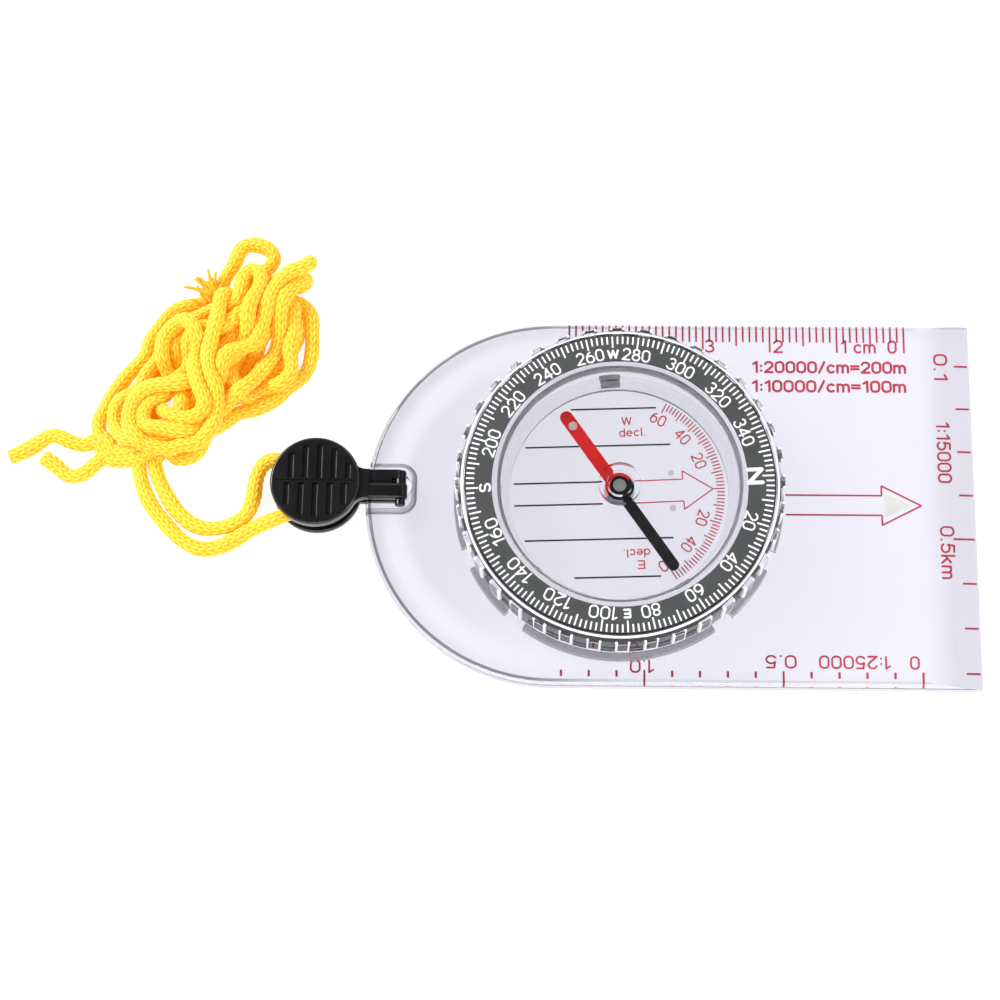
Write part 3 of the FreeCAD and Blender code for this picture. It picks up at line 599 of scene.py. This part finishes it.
LOOPS_FROM_LOWER = [
    (-71.7, 9.3, 1.1), (-73.7, 12.4, 1.1), (-72.8, 15.5, 1.1), (-70.4, 17.8, 1.1),
    (-68.1, 20.3, 1.1), (-65.9, 23.2, 1.1), (-63.6, 25.8, 1.1), (-61.0, 28.0, 1.1),
    (-58.7, 30.9, 1.1), (-55.7, 32.2, 1.2), (-52.3, 32.4, 1.6), (-49.3, 33.6, 2.0),
    (-46.9, 34.4, 2.4), (-46.7, 34.9, 3.6), (-48.8, 33.6, 4.0), (-50.4, 31.2, 3.8),
    (-50.7, 28.1, 3.6), (-50.4, 24.9, 3.6), (-51.1, 22.1, 3.4), (-53.3, 19.7, 3.0),
    (-55.4, 16.9, 3.0), (-57.9, 14.3, 3.2), (-61.1, 12.1, 3.2), (-64.2, 9.9, 3.2),
    (-67.7, 7.9, 3.4), (-71.2, 7.8, 3.4), (-74.2, 9.5, 3.2), (-75.4, 12.3, 3.1), (-74.2, 15.0, 3.1),
    (-71.5, 16.9, 3.1), (-69.2, 19.1, 3.1), (-68.2, 22.1, 3.1), (-67.5, 25.0, 3.2),
    (-65.4, 27.5, 3.4), (-62.4, 28.6, 3.8), (-59.4, 29.4, 4.2), (-57.0, 31.2, 4.6),
    (-56.0, 34.2, 4.4), (-54.5, 36.3, 4.8), (-53.3, 33.8, 5.0), (-54.5, 30.9, 5.4),
    (-55.4, 27.6, 5.6), (-55.4, 24.6, 5.2), (-56.7, 22.4, 4.2), (-58.5, 20.5, 3.4),
    (-60.1, 18.1, 4.0), (-62.6, 16.9, 4.6), (-65.2, 17.2, 5.6), (-67.8, 16.5, 5.8),
    (-70.3, 14.9, 5.8), (-72.3, 12.5, 5.6), (-71.7, 9.2, 5.6), (-68.8, 7.0, 5.8), (-65.5, 6.3, 5.6),
    (-62.6, 7.7, 5.6), (-60.7, 9.8, 6.0), (-59.0, 12.4, 6.2), (-59.2, 15.1, 6.2),
    (-60.3, 17.9, 6.2), (-61.0, 21.1, 6.2), (-60.5, 24.2, 6.2), (-59.8, 27.3, 6.0),
    (-59.1, 30.2, 5.4), (-58.0, 31.9, 4.4), (-56.9, 30.1, 3.2), (-57.4, 27.2, 2.4),
    (-59.5, 24.7, 2.2), (-61.7, 22.0, 2.6), (-63.6, 19.4, 3.0), (-64.3, 16.2, 3.0),
    (-62.8, 13.8, 2.6), (-60.5, 14.6, 2.2), (-57.9, 16.6, 2.0), (-56.1, 19.6, 1.6),
    (-55.0, 22.6, 1.2), (-53.5, 25.0, 1.6), (-52.3, 27.3, 2.2), (-51.5, 30.0, 2.8),
    (-49.7, 30.6, 3.0), (-48.5, 28.7, 3.0), (-49.0, 25.8, 3.0), (-49.7, 23.2, 3.0),
    (-48.6, 21.1, 2.8), (-48.8, 18.6, 2.8), (-51.2, 17.0, 2.8), (-53.9, 16.0, 2.8),
    (-56.3, 15.1, 2.6), (-58.1, 16.4, 2.4), (-58.6, 19.3, 2.2), (-57.6, 22.0, 1.8),
    (-55.9, 24.4, 1.4), (-57.0, 26.4, 1.2), (-59.0, 24.5, 1.2), (-60.3, 21.3, 1.2),
    (-59.9, 18.1, 1.2), (-60.6, 14.9, 1.2), (-61.7, 12.4, 1.2), (-63.7, 10.5, 1.2),
    (-66.6, 8.7, 1.1), (-69.8, 7.7, 1.1), (-73.1, 7.4, 1.1), (-75.7, 5.8, 1.1),
]


def smooth_line(name, route):
    """Points along the NURBS line that has the route as its control points, in millimetres."""
    curve = bpy.data.curves.new(name + "_line", "CURVE")
    curve.dimensions = "3D"
    curve.resolution_u = 12
    spline = curve.splines.new("NURBS")
    spline.points.add(len(route) - 1)
    for point, (x, y, z) in zip(spline.points, route):
        point.co = (x, y, z, 1.0)
    spline.order_u = 3
    spline.use_endpoint_u = True
    holder = bpy.data.objects.new(name + "_line", curve)
    bpy.context.collection.objects.link(holder)
    mesh = bpy.data.meshes.new_from_object(holder.evaluated_get(bpy.context.evaluated_depsgraph_get()))
    points = np.array([v.co for v in mesh.vertices])
    bpy.data.meshes.remove(mesh)
    bpy.data.objects.remove(holder)
    bpy.data.curves.remove(curve)
    return points


def evenly(points, step):
    """The same line with its points a step apart."""
    along = np.concatenate([[0], np.cumsum(np.linalg.norm(np.diff(points, axis=0), axis=1))])
    places = np.linspace(0, along[-1], int(round(along[-1] / step)) + 1)
    return np.stack([np.interp(places, along, points[:, k]) for k in range(3)], axis=1)


CONTACT = 2.10           # mm between the lines of two strands that touch
LINE_STEP = 0.9          # mm between the points that settle
SAME_STRETCH = 3.2       # mm along one strand, within which it doesn't push itself
LINE_LOW, LINE_HIGH = 1.02, 6.2
HEAP_LOW, HEAP_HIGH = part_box("lanyard_bundle")


def loose_part(points):
    """True for the points over the heap's box, which may shift to make room for each other."""
    low = np.array(HEAP_LOW[:2]) / MM
    high = np.array(HEAP_HIGH[:2]) / MM
    return ((points[:, :2] > low + 1.5) & (points[:, :2] < high + 0.5)).all(axis=1)


def push_apart(points, cord, place, near):
    """The mean push on each point from strands that it presses into."""
    gaps = points[:, None] - points[None]
    reach = np.linalg.norm(gaps, axis=2)
    same_stretch = (cord[:, None] == cord[None]) & (np.abs(place[:, None] - place[None]) < near)
    first, second = np.nonzero((reach < CONTACT) & ~same_stretch)
    distance = np.maximum(reach[first, second], 1e-3)
    push = gaps[first, second] * ((CONTACT - distance) / distance)[:, None]
    total = np.zeros_like(points)
    count = np.zeros(len(points))
    np.add.at(total, first, push)
    np.add.at(count, first, 1)
    return total / np.maximum(count, 1)[:, None]


def ease_bends(line, freedom):
    softened = line.copy()
    softened[2:-2] = (4 * line[1:-3] + 4 * line[3:-1] - line[:-4] - line[4:]) / 6
    line += freedom * 0.35 * (softened - line)


def keep_length(line, freedom, step):
    for start in (0, 1):
        near = line[start:-1:2]
        far = line[start + 1::2][:len(near)]
        near = near[:len(far)]
        span = far - near
        reach = np.linalg.norm(span, axis=1)
        shift = span * ((reach - step) / reach)[:, None] * 0.5
        near += freedom[start:-1:2][:len(near)] * shift
        far -= freedom[start + 1::2][:len(far)] * shift


def settle(lines, step, rounds=140):
    """Pushes heaped strands apart, lets them sink, softens bends and holds each length nearly.

    It doesn't part all of them: in places, mostly low down, strands still overlap at the end.
    """
    points = np.vstack(lines)
    sizes = [len(line) for line in lines]
    cord = np.repeat(np.arange(len(lines)), sizes)
    place = np.concatenate([np.arange(size) for size in sizes])
    ends = np.cumsum([0] + sizes)
    freedom = loose_part(points).astype(float)[:, None]
    laid = points.copy()
    for _ in range(rounds):
        points += freedom * 0.5 * push_apart(points, cord, place, int(SAME_STRETCH / step) + 1)
        points[:, :2] += freedom * 0.03 * (laid - points)[:, :2]
        points[:, 2:] -= freedom * 0.012
        for begin, end in zip(ends, ends[1:]):
            ease_bends(points[begin:end], freedom[begin:end])
            keep_length(points[begin:end], freedom[begin:end], step)
            keep_length(points[begin:end], freedom[begin:end], step)
        points[:, 2] = np.clip(points[:, 2], LINE_LOW, LINE_HIGH)
    return [points[begin:end] for begin, end in zip(ends, ends[1:])]


def frames_along(line):
    """Two unit vectors across the line at each point, carried along it without twist."""
    ahead = np.gradient(line, axis=0)
    ahead /= np.linalg.norm(ahead, axis=1)[:, None]
    side = np.cross(ahead[0], (0, 0, 1.0))
    side /= np.linalg.norm(side)
    sides = [side]
    for direction in ahead[1:]:
        side = side - direction * np.dot(side, direction)
        side = side / np.linalg.norm(side)
        sides.append(side)
    sides = np.array(sides)
    return sides, np.cross(ahead, sides)


STITCH = 1.15            # mm along the cord
WALES = 12               # half columns of stitches round it
AROUND = 48


def knit_relief(along, turn):
    """How far the yarn stands out, 0 to 1: long slanted stitches in columns, like rows of V."""
    column = turn * WALES
    across = column - np.floor(column)
    slant = np.where(np.floor(column) % 2 == 0, 1.0, -1.0)
    phase = along / STITCH + 0.95 * (across - 0.5) * slant
    stitch = np.abs(np.sin(math.pi * phase)) ** 0.7
    ridge = np.sin(math.pi * np.clip(across, 0.0, 1.0)) ** 0.6
    return stitch * (0.30 + 0.70 * ridge)


STEPS_PER_STITCH = 8


def knitted_tube(name, line, material):
    """The cord's surface: a knitted tube round the line, with a stitch relief."""
    line = evenly(line, STITCH / STEPS_PER_STITCH)
    sides, ups = frames_along(line)
    along = np.arange(len(line)) * STITCH / STEPS_PER_STITCH
    turn = np.arange(AROUND) / AROUND
    relief = knit_relief(along[:, None], turn[None])
    wobble = 1 + 0.04 * np.sin(along / 2.3) + 0.03 * np.sin(along / 0.9 + 1.0)
    radius = CORD_DIAMETER / MM / 2 * wobble[:, None] * (0.88 + 0.17 * relief)
    angle = 2 * math.pi * turn
    skin = (
        line[:, None]
        + (radius * np.cos(angle)[None])[..., None] * sides[:, None]
        + (radius * np.sin(angle)[None])[..., None] * ups[:, None]
    )
    skin[..., 2] = np.maximum(skin[..., 2], 0.02)
    count = len(line)
    verts = (skin.reshape(-1, 3) * MM).tolist()
    faces = []
    for i in range(count - 1):
        for j in range(AROUND):
            k = (j + 1) % AROUND
            faces.append((i * AROUND + j, i * AROUND + k, (i + 1) * AROUND + k, (i + 1) * AROUND + j))
    faces.append(tuple(range(AROUND))[::-1])
    faces.append(tuple((count - 1) * AROUND + j for j in range(AROUND)))
    mesh = bpy.data.meshes.new(name)
    mesh.from_pydata(verts, [], faces)
    mesh.attributes.new("relief", "FLOAT", "POINT").data.foreach_set("value", relief.reshape(-1))
    mesh.shade_smooth()
    return add_object(name, mesh, material)


def cord_material():
    shader = Shader("knitted_yarn")
    relief = shader.node("Attribute", attribute_name="relief").outputs["Fac"]
    # Painted shade and highlight: the yarn is darker and more orange in the pits between stitches and
    # brighter yellow on their tops, following the relief.
    yarn_light_and_shade = shader.ramp(relief, [
        (0.0, (0.58, 0.25, 0.002)), (0.40, (0.95, 0.52, 0.008)), (0.9, (1.0, 0.80, 0.075)),
    ])
    patches = shader.ramp(shader.noise(5.0, 2.0), [(0.3, (0.97, 0.88, 0.7)), (0.7, (1.0, 1.0, 1.0))])
    colour = shader.mix(1.0, yarn_light_and_shade, patches, blend_type="MULTIPLY")
    shader.join(colour, shader.surface.inputs["Base Color"])
    shader.set(Roughness=0.62, Sheen_Weight=0.25, Sheen_Roughness=0.4)
    shader.set(Subsurface_Weight=0.25, Subsurface_Scale=1.2 * MM)
    shader.surface.inputs["Subsurface Radius"].default_value = (1.0, 0.4, 0.04)
    # Painted glow: a weak orange emission stands in for light bounced among the strands of the heap.
    shader.set(Emission_Color=(1.0, 0.36, 0.0), Emission_Strength=0.16)
    shader.bump(shader.noise(0.16, 3.0), 0.04, 0.6)
    return shader.material


def tuft_material():
    shader = Shader("frayed_yarn")
    shader.colour_by(shader.noise(0.8, 3.0), [(0.3, (0.88, 0.36, 0.004)), (0.75, (1.0, 0.56, 0.012))])
    shader.roughness_by(shader.noise(0.5), [(0.3, 0.6), (0.8, 0.8)])
    # Painted glow: a weak orange emission stands in for light bounced inside the heap.
    shader.set(Emission_Color=(1.0, 0.36, 0.0), Emission_Strength=0.12)
    return shader.material


CRUMPLE_SPANS = (5.3, 7.9, 11.0)
CRUMPLE_HEIGHT = 0.32


def crumple(line, step, chance):
    """Small random waves in the heaped part of a line, as limp cord has."""
    along = np.arange(len(line)) * step
    inside = np.convolve(loose_part(line).astype(float), np.ones(5) / 5, "same")
    for k in range(2):
        waves = sum(np.sin(2 * math.pi * (along / span + chance.uniform())) for span in CRUMPLE_SPANS)
        line[:, k] += CRUMPLE_HEIGHT * waves * inside
    return line


TUFT_ROOT = (-60.9, 31.3, 2.3)
TUFT_YARNS = 34
YARN_STEPS = 6
YARN_SIDES = 6
YARN_RADIUS = 0.34
UP = np.array([0, 0, 1.0])


def add_tuft(material, chance):
    """A frayed tuft of loose yarn ends at the heap's back left."""
    bm = bmesh.new()
    root = np.array(TUFT_ROOT)
    around = [2 * math.pi * k / YARN_SIDES for k in range(YARN_SIDES)]
    for _ in range(TUFT_YARNS):
        aim = math.radians(chance.uniform(88, 150))
        length = chance.uniform(2.2, 3.9)
        lift = chance.uniform(-0.25, 0.3)
        bend = chance.uniform(-0.5, 0.5)
        start = root + chance.uniform(-1.1, 1.1, 3) * (1, 1, 0.5)
        rings = []
        for k in range(YARN_STEPS + 1):
            t = k / YARN_STEPS
            turn = aim + bend * t
            centre = start + length * t * np.array([math.cos(turn), math.sin(turn), lift * t])
            width = YARN_RADIUS * (1 - 0.35 * t)
            across = np.array([-math.sin(turn), math.cos(turn), 0.0])
            skin = [centre + width * (math.cos(a) * across + math.sin(a) * UP) for a in around]
            rings.append([bm.verts.new(Vector(point) * MM) for point in skin])
        for near, far in zip(rings, rings[1:]):
            for i in range(YARN_SIDES):
                j = (i + 1) % YARN_SIDES
                bm.faces.new((near[i], near[j], far[j], far[i]))
        bm.faces.new(rings[0][::-1])
        bm.faces.new(rings[-1])
    bmesh.ops.recalc_face_normals(bm, faces=bm.faces)
    tuft = object_from(bm, "cord_tuft", material, smooth=True)
    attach(tuft, "clip_lower")
    return tuft


def add_lanyard():
    chance = np.random.default_rng(5)
    routes = (
        ("upper", UPPER_STRAND + LOOPS_FROM_UPPER + LONG_TAIL),
        ("lower", LOWER_STRAND + LOOPS_FROM_LOWER + SHORT_TAIL),
    )
    lines = [
        crumple(evenly(smooth_line(name, route), LINE_STEP), LINE_STEP, chance)
        for name, route in routes
    ]
    lines = settle(lines, LINE_STEP)
    material = cord_material()
    tuft = add_tuft(tuft_material(), chance)
    nodes = (
        ("lanyard_upper_strand", "lanyard_long_tail", "lanyard_bundle"),
        ("lanyard_lower_strand", "lanyard_short_tail"),
    )
    for name, line, stands_for in zip(("lanyard_cord_upper", "lanyard_cord_lower"), lines, nodes):
        cord = knitted_tube(name, line, material)
        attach(cord, "clip_lower")
        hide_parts(*stands_for)


# ------------------------------------------------------------------ marks on the plate

def centimetre_scale(marks):
    """Millimetre ticks along the +Y edge, numbered from the front."""
    edge = 27.3
    zero = 42.7
    for i in range(51):
        length = 3.6 if i % 10 == 0 else 2.6 if i % 5 == 0 else 2.0
        marks.line((zero - i, edge), (zero - i, edge - length), 0.27)
    for words, x, width, height in (
        ("0", 40.95, 1.4, 2.1), ("cm", 36.85, 3.3, 1.5), ("1", 33.75, 0.8, 2.1),
        ("2", 23.94, 1.5, 2.1), ("3", 13.7, 1.5, 2.1),
    ):
        y = 24.65 - (2.1 - height) / 2
        marks.text(words, (x, y), (width, height), 0.0, 0.3)
    marks.text("1:20000/cm=200m", (31.47, 21.38), (22.9, 2.05), 0.0, 0.36)
    marks.text("1:10000/cm=100m", (31.39, 18.38), (22.9, 2.05), 0.0, 0.36)


def quarter_scale(marks):
    """The 1:25000 scale along the -Y edge, read from the other side."""
    upside_down = math.pi
    for i in range(14):
        x = 43.8 - 4 * i
        if i % 5 == 0:
            marks.line((x, -27.3), (x, -24.9), 0.3)
        else:
            marks.line((x, -25.9), (x, -24.95), 0.35)
    for words, x, y, width in (
        ("0", 42.65, -23.5, 1.4), ("1:25000", 34.06, -23.5, 10.3),
        ("0.5", 23.45, -23.5, 4.5), ("1.0", 3.46, -24.35, 3.5),
    ):
        marks.text(words, (x, y), (width, 2.0), upside_down, 0.28)


def end_scale(marks):
    """The 1:15000 scale along the front edge, read downward."""
    downward = -math.pi / 2
    for i in range(1, 9):
        y = 28.35 - 6.667 * i
        start = 48.8 if i == 5 else 49.9
        marks.line((start, y), (51.9, y), 0.3)
    for words, y, width in (("0.1", 21.56, 4.1), ("1:15000", 8.23, 9.4), ("0.5km", -7.03, 8.0)):
        marks.text(words, (47.95, y), (width, 2.1), downward, 0.3)


def direction_arrow(marks):
    half, head, root, tip = 1.5, 3.0, 38.65, 44.4
    marks.chain([(24.6, half), (root, half), (root, head), (tip, 0), (root, -head), (root, -half),
                 (24.6, -half)], 0.26)


def add_plate_marks():
    marks = Print(PLATE_PRINT_Z)
    centimetre_scale(marks)
    quarter_scale(marks)
    end_scale(marks)
    direction_arrow(marks)
    red = ink("plate_ink_red", RED_INK, tuple(1.2 * c for c in RED_INK))
    marks.finish("plate_marks", red, "base")
    glow = Print(PLATE_PRINT_Z)
    glow.outline([(39.1, 1.9), (39.1, -1.9), (42.9, 0)])
    pale = ink("arrow_luminous", (0.92, 0.92, 0.82), (0.97, 0.97, 0.88))
    Shader.of(pale).set(Emission_Color=(1.0, 1.0, 0.86), Emission_Strength=0.12)
    glow.finish("arrow_luminous_fill", pale, "base")


# ------------------------------------------------------------------ marks on the dial

def dial_angle(bearing):
    """Where a bearing in degrees lies, anticlockwise from +X in radians."""
    return DIAL_TURN - math.radians(bearing)


def add_ring_marks():
    marks = Print(RING_PRINT_Z)
    for bearing in range(0, 360, 2):
        inner = 21.95 - (1.7 if bearing % 10 == 0 else 1.15)
        marks.tick(dial_angle(bearing), inner, 21.95, 0.24)
    letters = {0: ("N", 2.5, 2.5, 0.55), 90: ("E", 1.1, 1.4, 0.3), 180: ("S", 1.35, 1.75, 0.3),
               270: ("W", 1.7, 1.4, 0.3)}
    for bearing in range(0, 360, 10):
        if bearing in letters:
            words, width, height, weight = letters[bearing]
        elif bearing % 20 == 0:
            words = str(bearing)
            width, height, weight = 1.36 * len(words), 1.9, 0.24
        else:
            continue
        angle = dial_angle(bearing)
        middle = 19.25
        place = (middle * math.cos(angle), middle * math.sin(angle))
        marks.text(words, place, (width, height), angle - math.pi / 2, weight)
    white = ink("ring_ink_white", (0.72, 0.73, 0.73), (0.84, 0.85, 0.85), 0.5)
    marks.finish("ring_marks", white, "dial")


MERIDIAN_TURN = math.radians(1.9)


def turned(points, angle=DIAL_TURN):
    c, s = math.cos(angle), math.sin(angle)
    return [(c * x - s * y, s * x + c * y) for x, y in points]


def add_meridians():
    marks = Print(FLOOR_PRINT_Z)
    for offset, start, end in (
        (12.8, -6.6, 5.8), (7.15, -13.4, 7.7), (1.7, -15.2, -2.4), (-1.6, -15.2, -2.4),
        (-6.9, -13.8, 7.6), (-12.55, -6.8, 5.6),
    ):
        marks.chain(turned([(start, offset), (end, offset)], MERIDIAN_TURN), 0.25)
    black = ink("meridian_ink", (0.008, 0.008, 0.01), (0.02, 0.02, 0.024))
    marks.finish("meridian_lines", black, "dial")


def add_orienting_marks():
    """The red arrow and the declination scale on the capsule's floor."""
    marks = Print(FLOOR_PRINT_Z)
    arrow = [(2.3, 1.65), (9.3, 1.65), (9.3, 2.9), (13.6, 0), (9.3, -2.9), (9.3, -1.65), (2.3, -1.65)]
    marks.chain(turned(arrow), 0.19)
    for degrees in range(-60, 61, 2):
        length = 1.6 if degrees % 10 == 0 else 1.15
        marks.tick(dial_angle(degrees), 15.3 - length, 15.3, 0.19)
    for degrees in (-60, -40, -20, 20, 40, 60):
        angle = dial_angle(degrees)
        place = (12.6 * math.cos(angle), 12.6 * math.sin(angle))
        marks.text(str(abs(degrees)), place, (2.3, 1.75), angle - math.pi / 2, 0.21)
    for words, centre, size, turn in (
        ("W", (1.1, 10.9), (1.5, 1.3), DIAL_TURN), ("decl.", (1.9, 9.2), (3.8, 1.3), DIAL_TURN),
        ("E", (3.2, -10.7), (1.1, 1.3), math.pi + DIAL_TURN),
        ("decl.", (2.6, -9.0), (3.8, 1.3), math.pi + DIAL_TURN),
    ):
        marks.text(words, centre, size, turn, 0.19)
    red = ink("dial_ink_red", (0.60, 0.035, 0.075), (0.68, 0.06, 0.10))
    marks.finish("orienting_marks", red, "dial")


def add_collar():
    """The collar's clear segments, a hair above the plate so that both faces refract."""
    profile = [(23.05, 2.84), (24.1, 2.84), (24.1, 3.2), (23.98, 4.35), (23.85, 4.45), (22.55, 4.45),
               (22.5, 4.40), (22.5, 4.05), (23.05, 3.95)]
    slots = (23, 51, 129, 157, 203, 231, 309, 337)
    half_slot = math.radians(3.95)
    bm = bmesh.new()
    for start, end in zip(slots, slots[1:] + (slots[0] + 360,)):
        first, last = math.radians(start) + half_slot, math.radians(end) - half_slot
        steps = max(8, int((last - first) / math.radians(2)))
        rows = []
        for i in range(steps + 1):
            angle = first + (last - first) * i / steps
            c, s = math.cos(angle), math.sin(angle)
            rows.append([bm.verts.new((r * MM * c, r * MM * s, z * MM)) for r, z in profile])
        for before, after in zip(rows, rows[1:]):
            for i in range(len(profile)):
                j = (i + 1) % len(profile)
                bm.faces.new((before[i], before[j], after[j], after[i]))
        bm.faces.new(rows[0][::-1])
        bm.faces.new(rows[-1])
    bmesh.ops.recalc_face_normals(bm, faces=bm.faces)
    collar = object_from(bm, "collar_clear", collar_plastic())
    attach(collar, "base")
    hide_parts("retaining_collar")


def collar_plastic():
    """Clear, with painted shade: a dark band in the foot, where the wall meets the plate."""
    material = clear_plastic("collar_clear", (0.97, 0.97, 0.98), 1.28, 0.02)
    shader = Shader.of(material)
    z = shader.split(shader.coordinates())[2]
    height = shader.math("DIVIDE", z, 5 * MM)
    # Painted shade: dark at the collar's foot, clear above.
    shader.colour_by(height, [(0.585, (0.16, 0.16, 0.17)), (0.605, (0.97, 0.97, 0.98))])
    return material


def add_ring_skirt():
    """The ring's wall, seen through the bezel that is moulded round it: a thin sheet, near black and
    darker than the ring's grey, so it is partly painted shade for the dark band under the ring.
    """
    profile = [(22.12, 5.3), (22.2, 5.3), (22.2, 12.1), (22.12, 12.1)]
    bm = revolved(profile, ring=True)
    dark = moulded_plastic("ring_skirt", (0.012, 0.012, 0.014), (0.022, 0.022, 0.026), 0.4)
    skirt = object_from(bm, "ring_skirt", dark)
    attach(skirt, "dial")


def add_capsule_liquid():
    """Lens, liquid and floor seen as one clear body, with the needle and the marks inside it."""
    profile = [
        (0, 4.06), (16.9, 4.06), (16.9, 10.9), (17.5, 11.02), (17.5, 11.98), (17.38, 12.08), (0, 12.08),
    ]
    material = clear_plastic("capsule_clear_body", (0.995, 0.995, 1.0), 1.36, 0.0)
    body = object_from(revolved(profile), "capsule_clear_body", material)
    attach(body, "dial")
    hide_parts("capsule_lens", "capsule_floor")
    boss = revolved([(1.86, 9.95), (3.03, 9.95), (3.03, 11.95), (1.86, 11.95)], ring=True)
    rim = object_from(boss, "lens_boss", clear_plastic("lens_boss", (0.98, 0.98, 1.0), 1.09, 0.0))
    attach(rim, "dial")


# ------------------------------------------------------------------ CAD nodes' materials

def finish_node(node, material):
    slots = NODES[node].data.materials
    slots.clear()
    slots.append(material)


def paint_nodes():
    black = moulded_plastic("clip_black", (0.004, 0.004, 0.005), (0.008, 0.008, 0.010), 0.16, 1.5, 0.01)
    steel = metal("ground_steel", (0.56, 0.56, 0.58), 0.25)
    finishes = {
        "base_plate": plate_plastic(),
        "friction_ring": moulded_plastic("wear_ring", (0.10, 0.10, 0.11), (0.14, 0.14, 0.15), 0.5),
        "bezel": bezel_plastic(),
        "graduated_ring": moulded_plastic("ring_grey", (0.048, 0.051, 0.051), (0.060, 0.064, 0.064), 0.38),
        "capsule_housing": clear_plastic("capsule_clear", (0.98, 0.97, 0.99), 1.40, 0.0),
        "lens_gasket": moulded_plastic("gasket", (0.3, 0.3, 0.33), (0.4, 0.4, 0.43), 0.5),
        "filler_plug": moulded_plastic("plug_grey", (0.36, 0.36, 0.37), (0.44, 0.44, 0.45), 0.5),
        "north_pips": moulded_plastic("pip_paint", (0.74, 0.62, 0.64), (0.84, 0.74, 0.76), 0.6, 0.3),
        "pivot_pin": steel,
        "clip_hinge_pin": black,
        "jewel_bearing": moulded_plastic("jewel_grey", (0.27, 0.28, 0.29), (0.40, 0.41, 0.42), 0.12),
        "lume_dot": moulded_plastic("lume_paint", (0.58, 0.44, 0.42), (0.68, 0.54, 0.50), 0.6, 0.3),
        "clip_lower_leaf": black,
        "clip_upper_leaf": black,
        "clip_stud": black,
    }
    for node, material in finishes.items():
        finish_node(node, material)


NEEDLE_DIRECTION = math.radians(125.0)


def paint_needle():
    """Red towards the north end and black towards the south, split at the hub."""
    for node, rim, rough in (("needle", 0.0, 0.28), ("needle_hub", 1.45 * MM, 0.10)):
        finish_node(node, two_colour_paint(node + "_paint", rim, rough))


def two_colour_paint(name, black_radius, rough):
    """The needle's paint. Round the axis it is black out to black_radius."""
    shader = Shader(name)
    north = (math.cos(NEEDLE_DIRECTION), math.sin(NEEDLE_DIRECTION), 0.0)
    place = shader.coordinates()
    along = shader.node("VectorMath", operation="DOT_PRODUCT")
    shader.join(place, along.inputs[0])
    along.inputs[1].default_value = north
    x, y, _ = shader.split(place)
    red_here = shader.product(
        shader.above(along.outputs["Value"], 0.0), shader.above(shader.radius(x, y), black_radius),
    )
    mottle = shader.noise(2.0)
    red = shader.ramp(mottle, [(0.3, (0.74, 0.006, 0.008)), (0.8, (0.84, 0.010, 0.012))])
    black = shader.ramp(mottle, [(0.3, (0.006, 0.006, 0.007)), (0.8, (0.014, 0.014, 0.016))])
    shader.join(shader.mix(red_here, black, red), shader.surface.inputs["Base Color"])
    shader.roughness_by(shader.noise(1.2), [(0.3, rough), (0.8, rough + 0.12)])
    return shader.material


# ------------------------------------------------------------------ stage

def add_floor():
    bm = bmesh.new()
    half = 3.0
    corners = [(-half, -half), (half, -half), (half, half), (-half, half)]
    bm.faces.new([bm.verts.new((x, y, -0.05 * MM)) for x, y in corners])
    shader = Shader("floor")
    shader.set(Base_Color=(0.3, 0.3, 0.3), Roughness=0.9, Emission_Color=(1.0, 1.0, 1.0))
    shader.set(Emission_Strength=0.84)
    object_from(bm, "floor", shader.material)


def add_area_light(name, place, size, power, target=(0, 0, 0)):
    data = bpy.data.lights.new(name, "AREA")
    data.shape = "RECTANGLE"
    data.size, data.size_y = size
    data.energy = power
    light = bpy.data.objects.new(name, data)
    light.location = place
    aim = Vector(target) - Vector(place)
    light.rotation_euler = aim.to_track_quat("-Z", "Y").to_euler()
    bpy.context.collection.objects.link(light)


def add_lights():
    add_area_light("key", (-0.75, 0.45, 0.65), (0.5, 0.4), 10.5)
    add_area_light("fill", (0.80, -0.35, 0.55), (0.3, 0.5), 3.6)
    add_area_light("front_strip", (-0.10, -0.60, 0.38), (0.5, 0.04), 1.2)
    world = bpy.data.worlds.new("studio")
    world.use_nodes = True
    nodes, links = world.node_tree.nodes, world.node_tree.links
    place = nodes.new("ShaderNodeTexCoord")
    split = nodes.new("ShaderNodeSeparateXYZ")
    ramp = nodes.new("ShaderNodeValToRGB")
    fill_ramp(ramp, [(0.0, 0.45), (0.10, 0.7), (0.25, 1.4), (0.70, 1.0), (0.86, 0.22), (1.0, 0.14)])
    links.new(place.outputs["Generated"], split.inputs[0])
    links.new(split.outputs["Z"], ramp.inputs["Fac"])
    links.new(ramp.outputs["Color"], nodes["Background"].inputs["Color"])
    nodes["Background"].inputs["Strength"].default_value = 1.0
    bpy.context.scene.world = world
    bpy.context.scene.view_settings.view_transform = "Standard"


add_camera()
add_lanyard()
paint_nodes()
paint_needle()
add_plate_marks()
add_ring_marks()
add_meridians()
add_orienting_marks()
add_capsule_liquid()
add_collar()
add_ring_skirt()
add_floor()
add_lights()
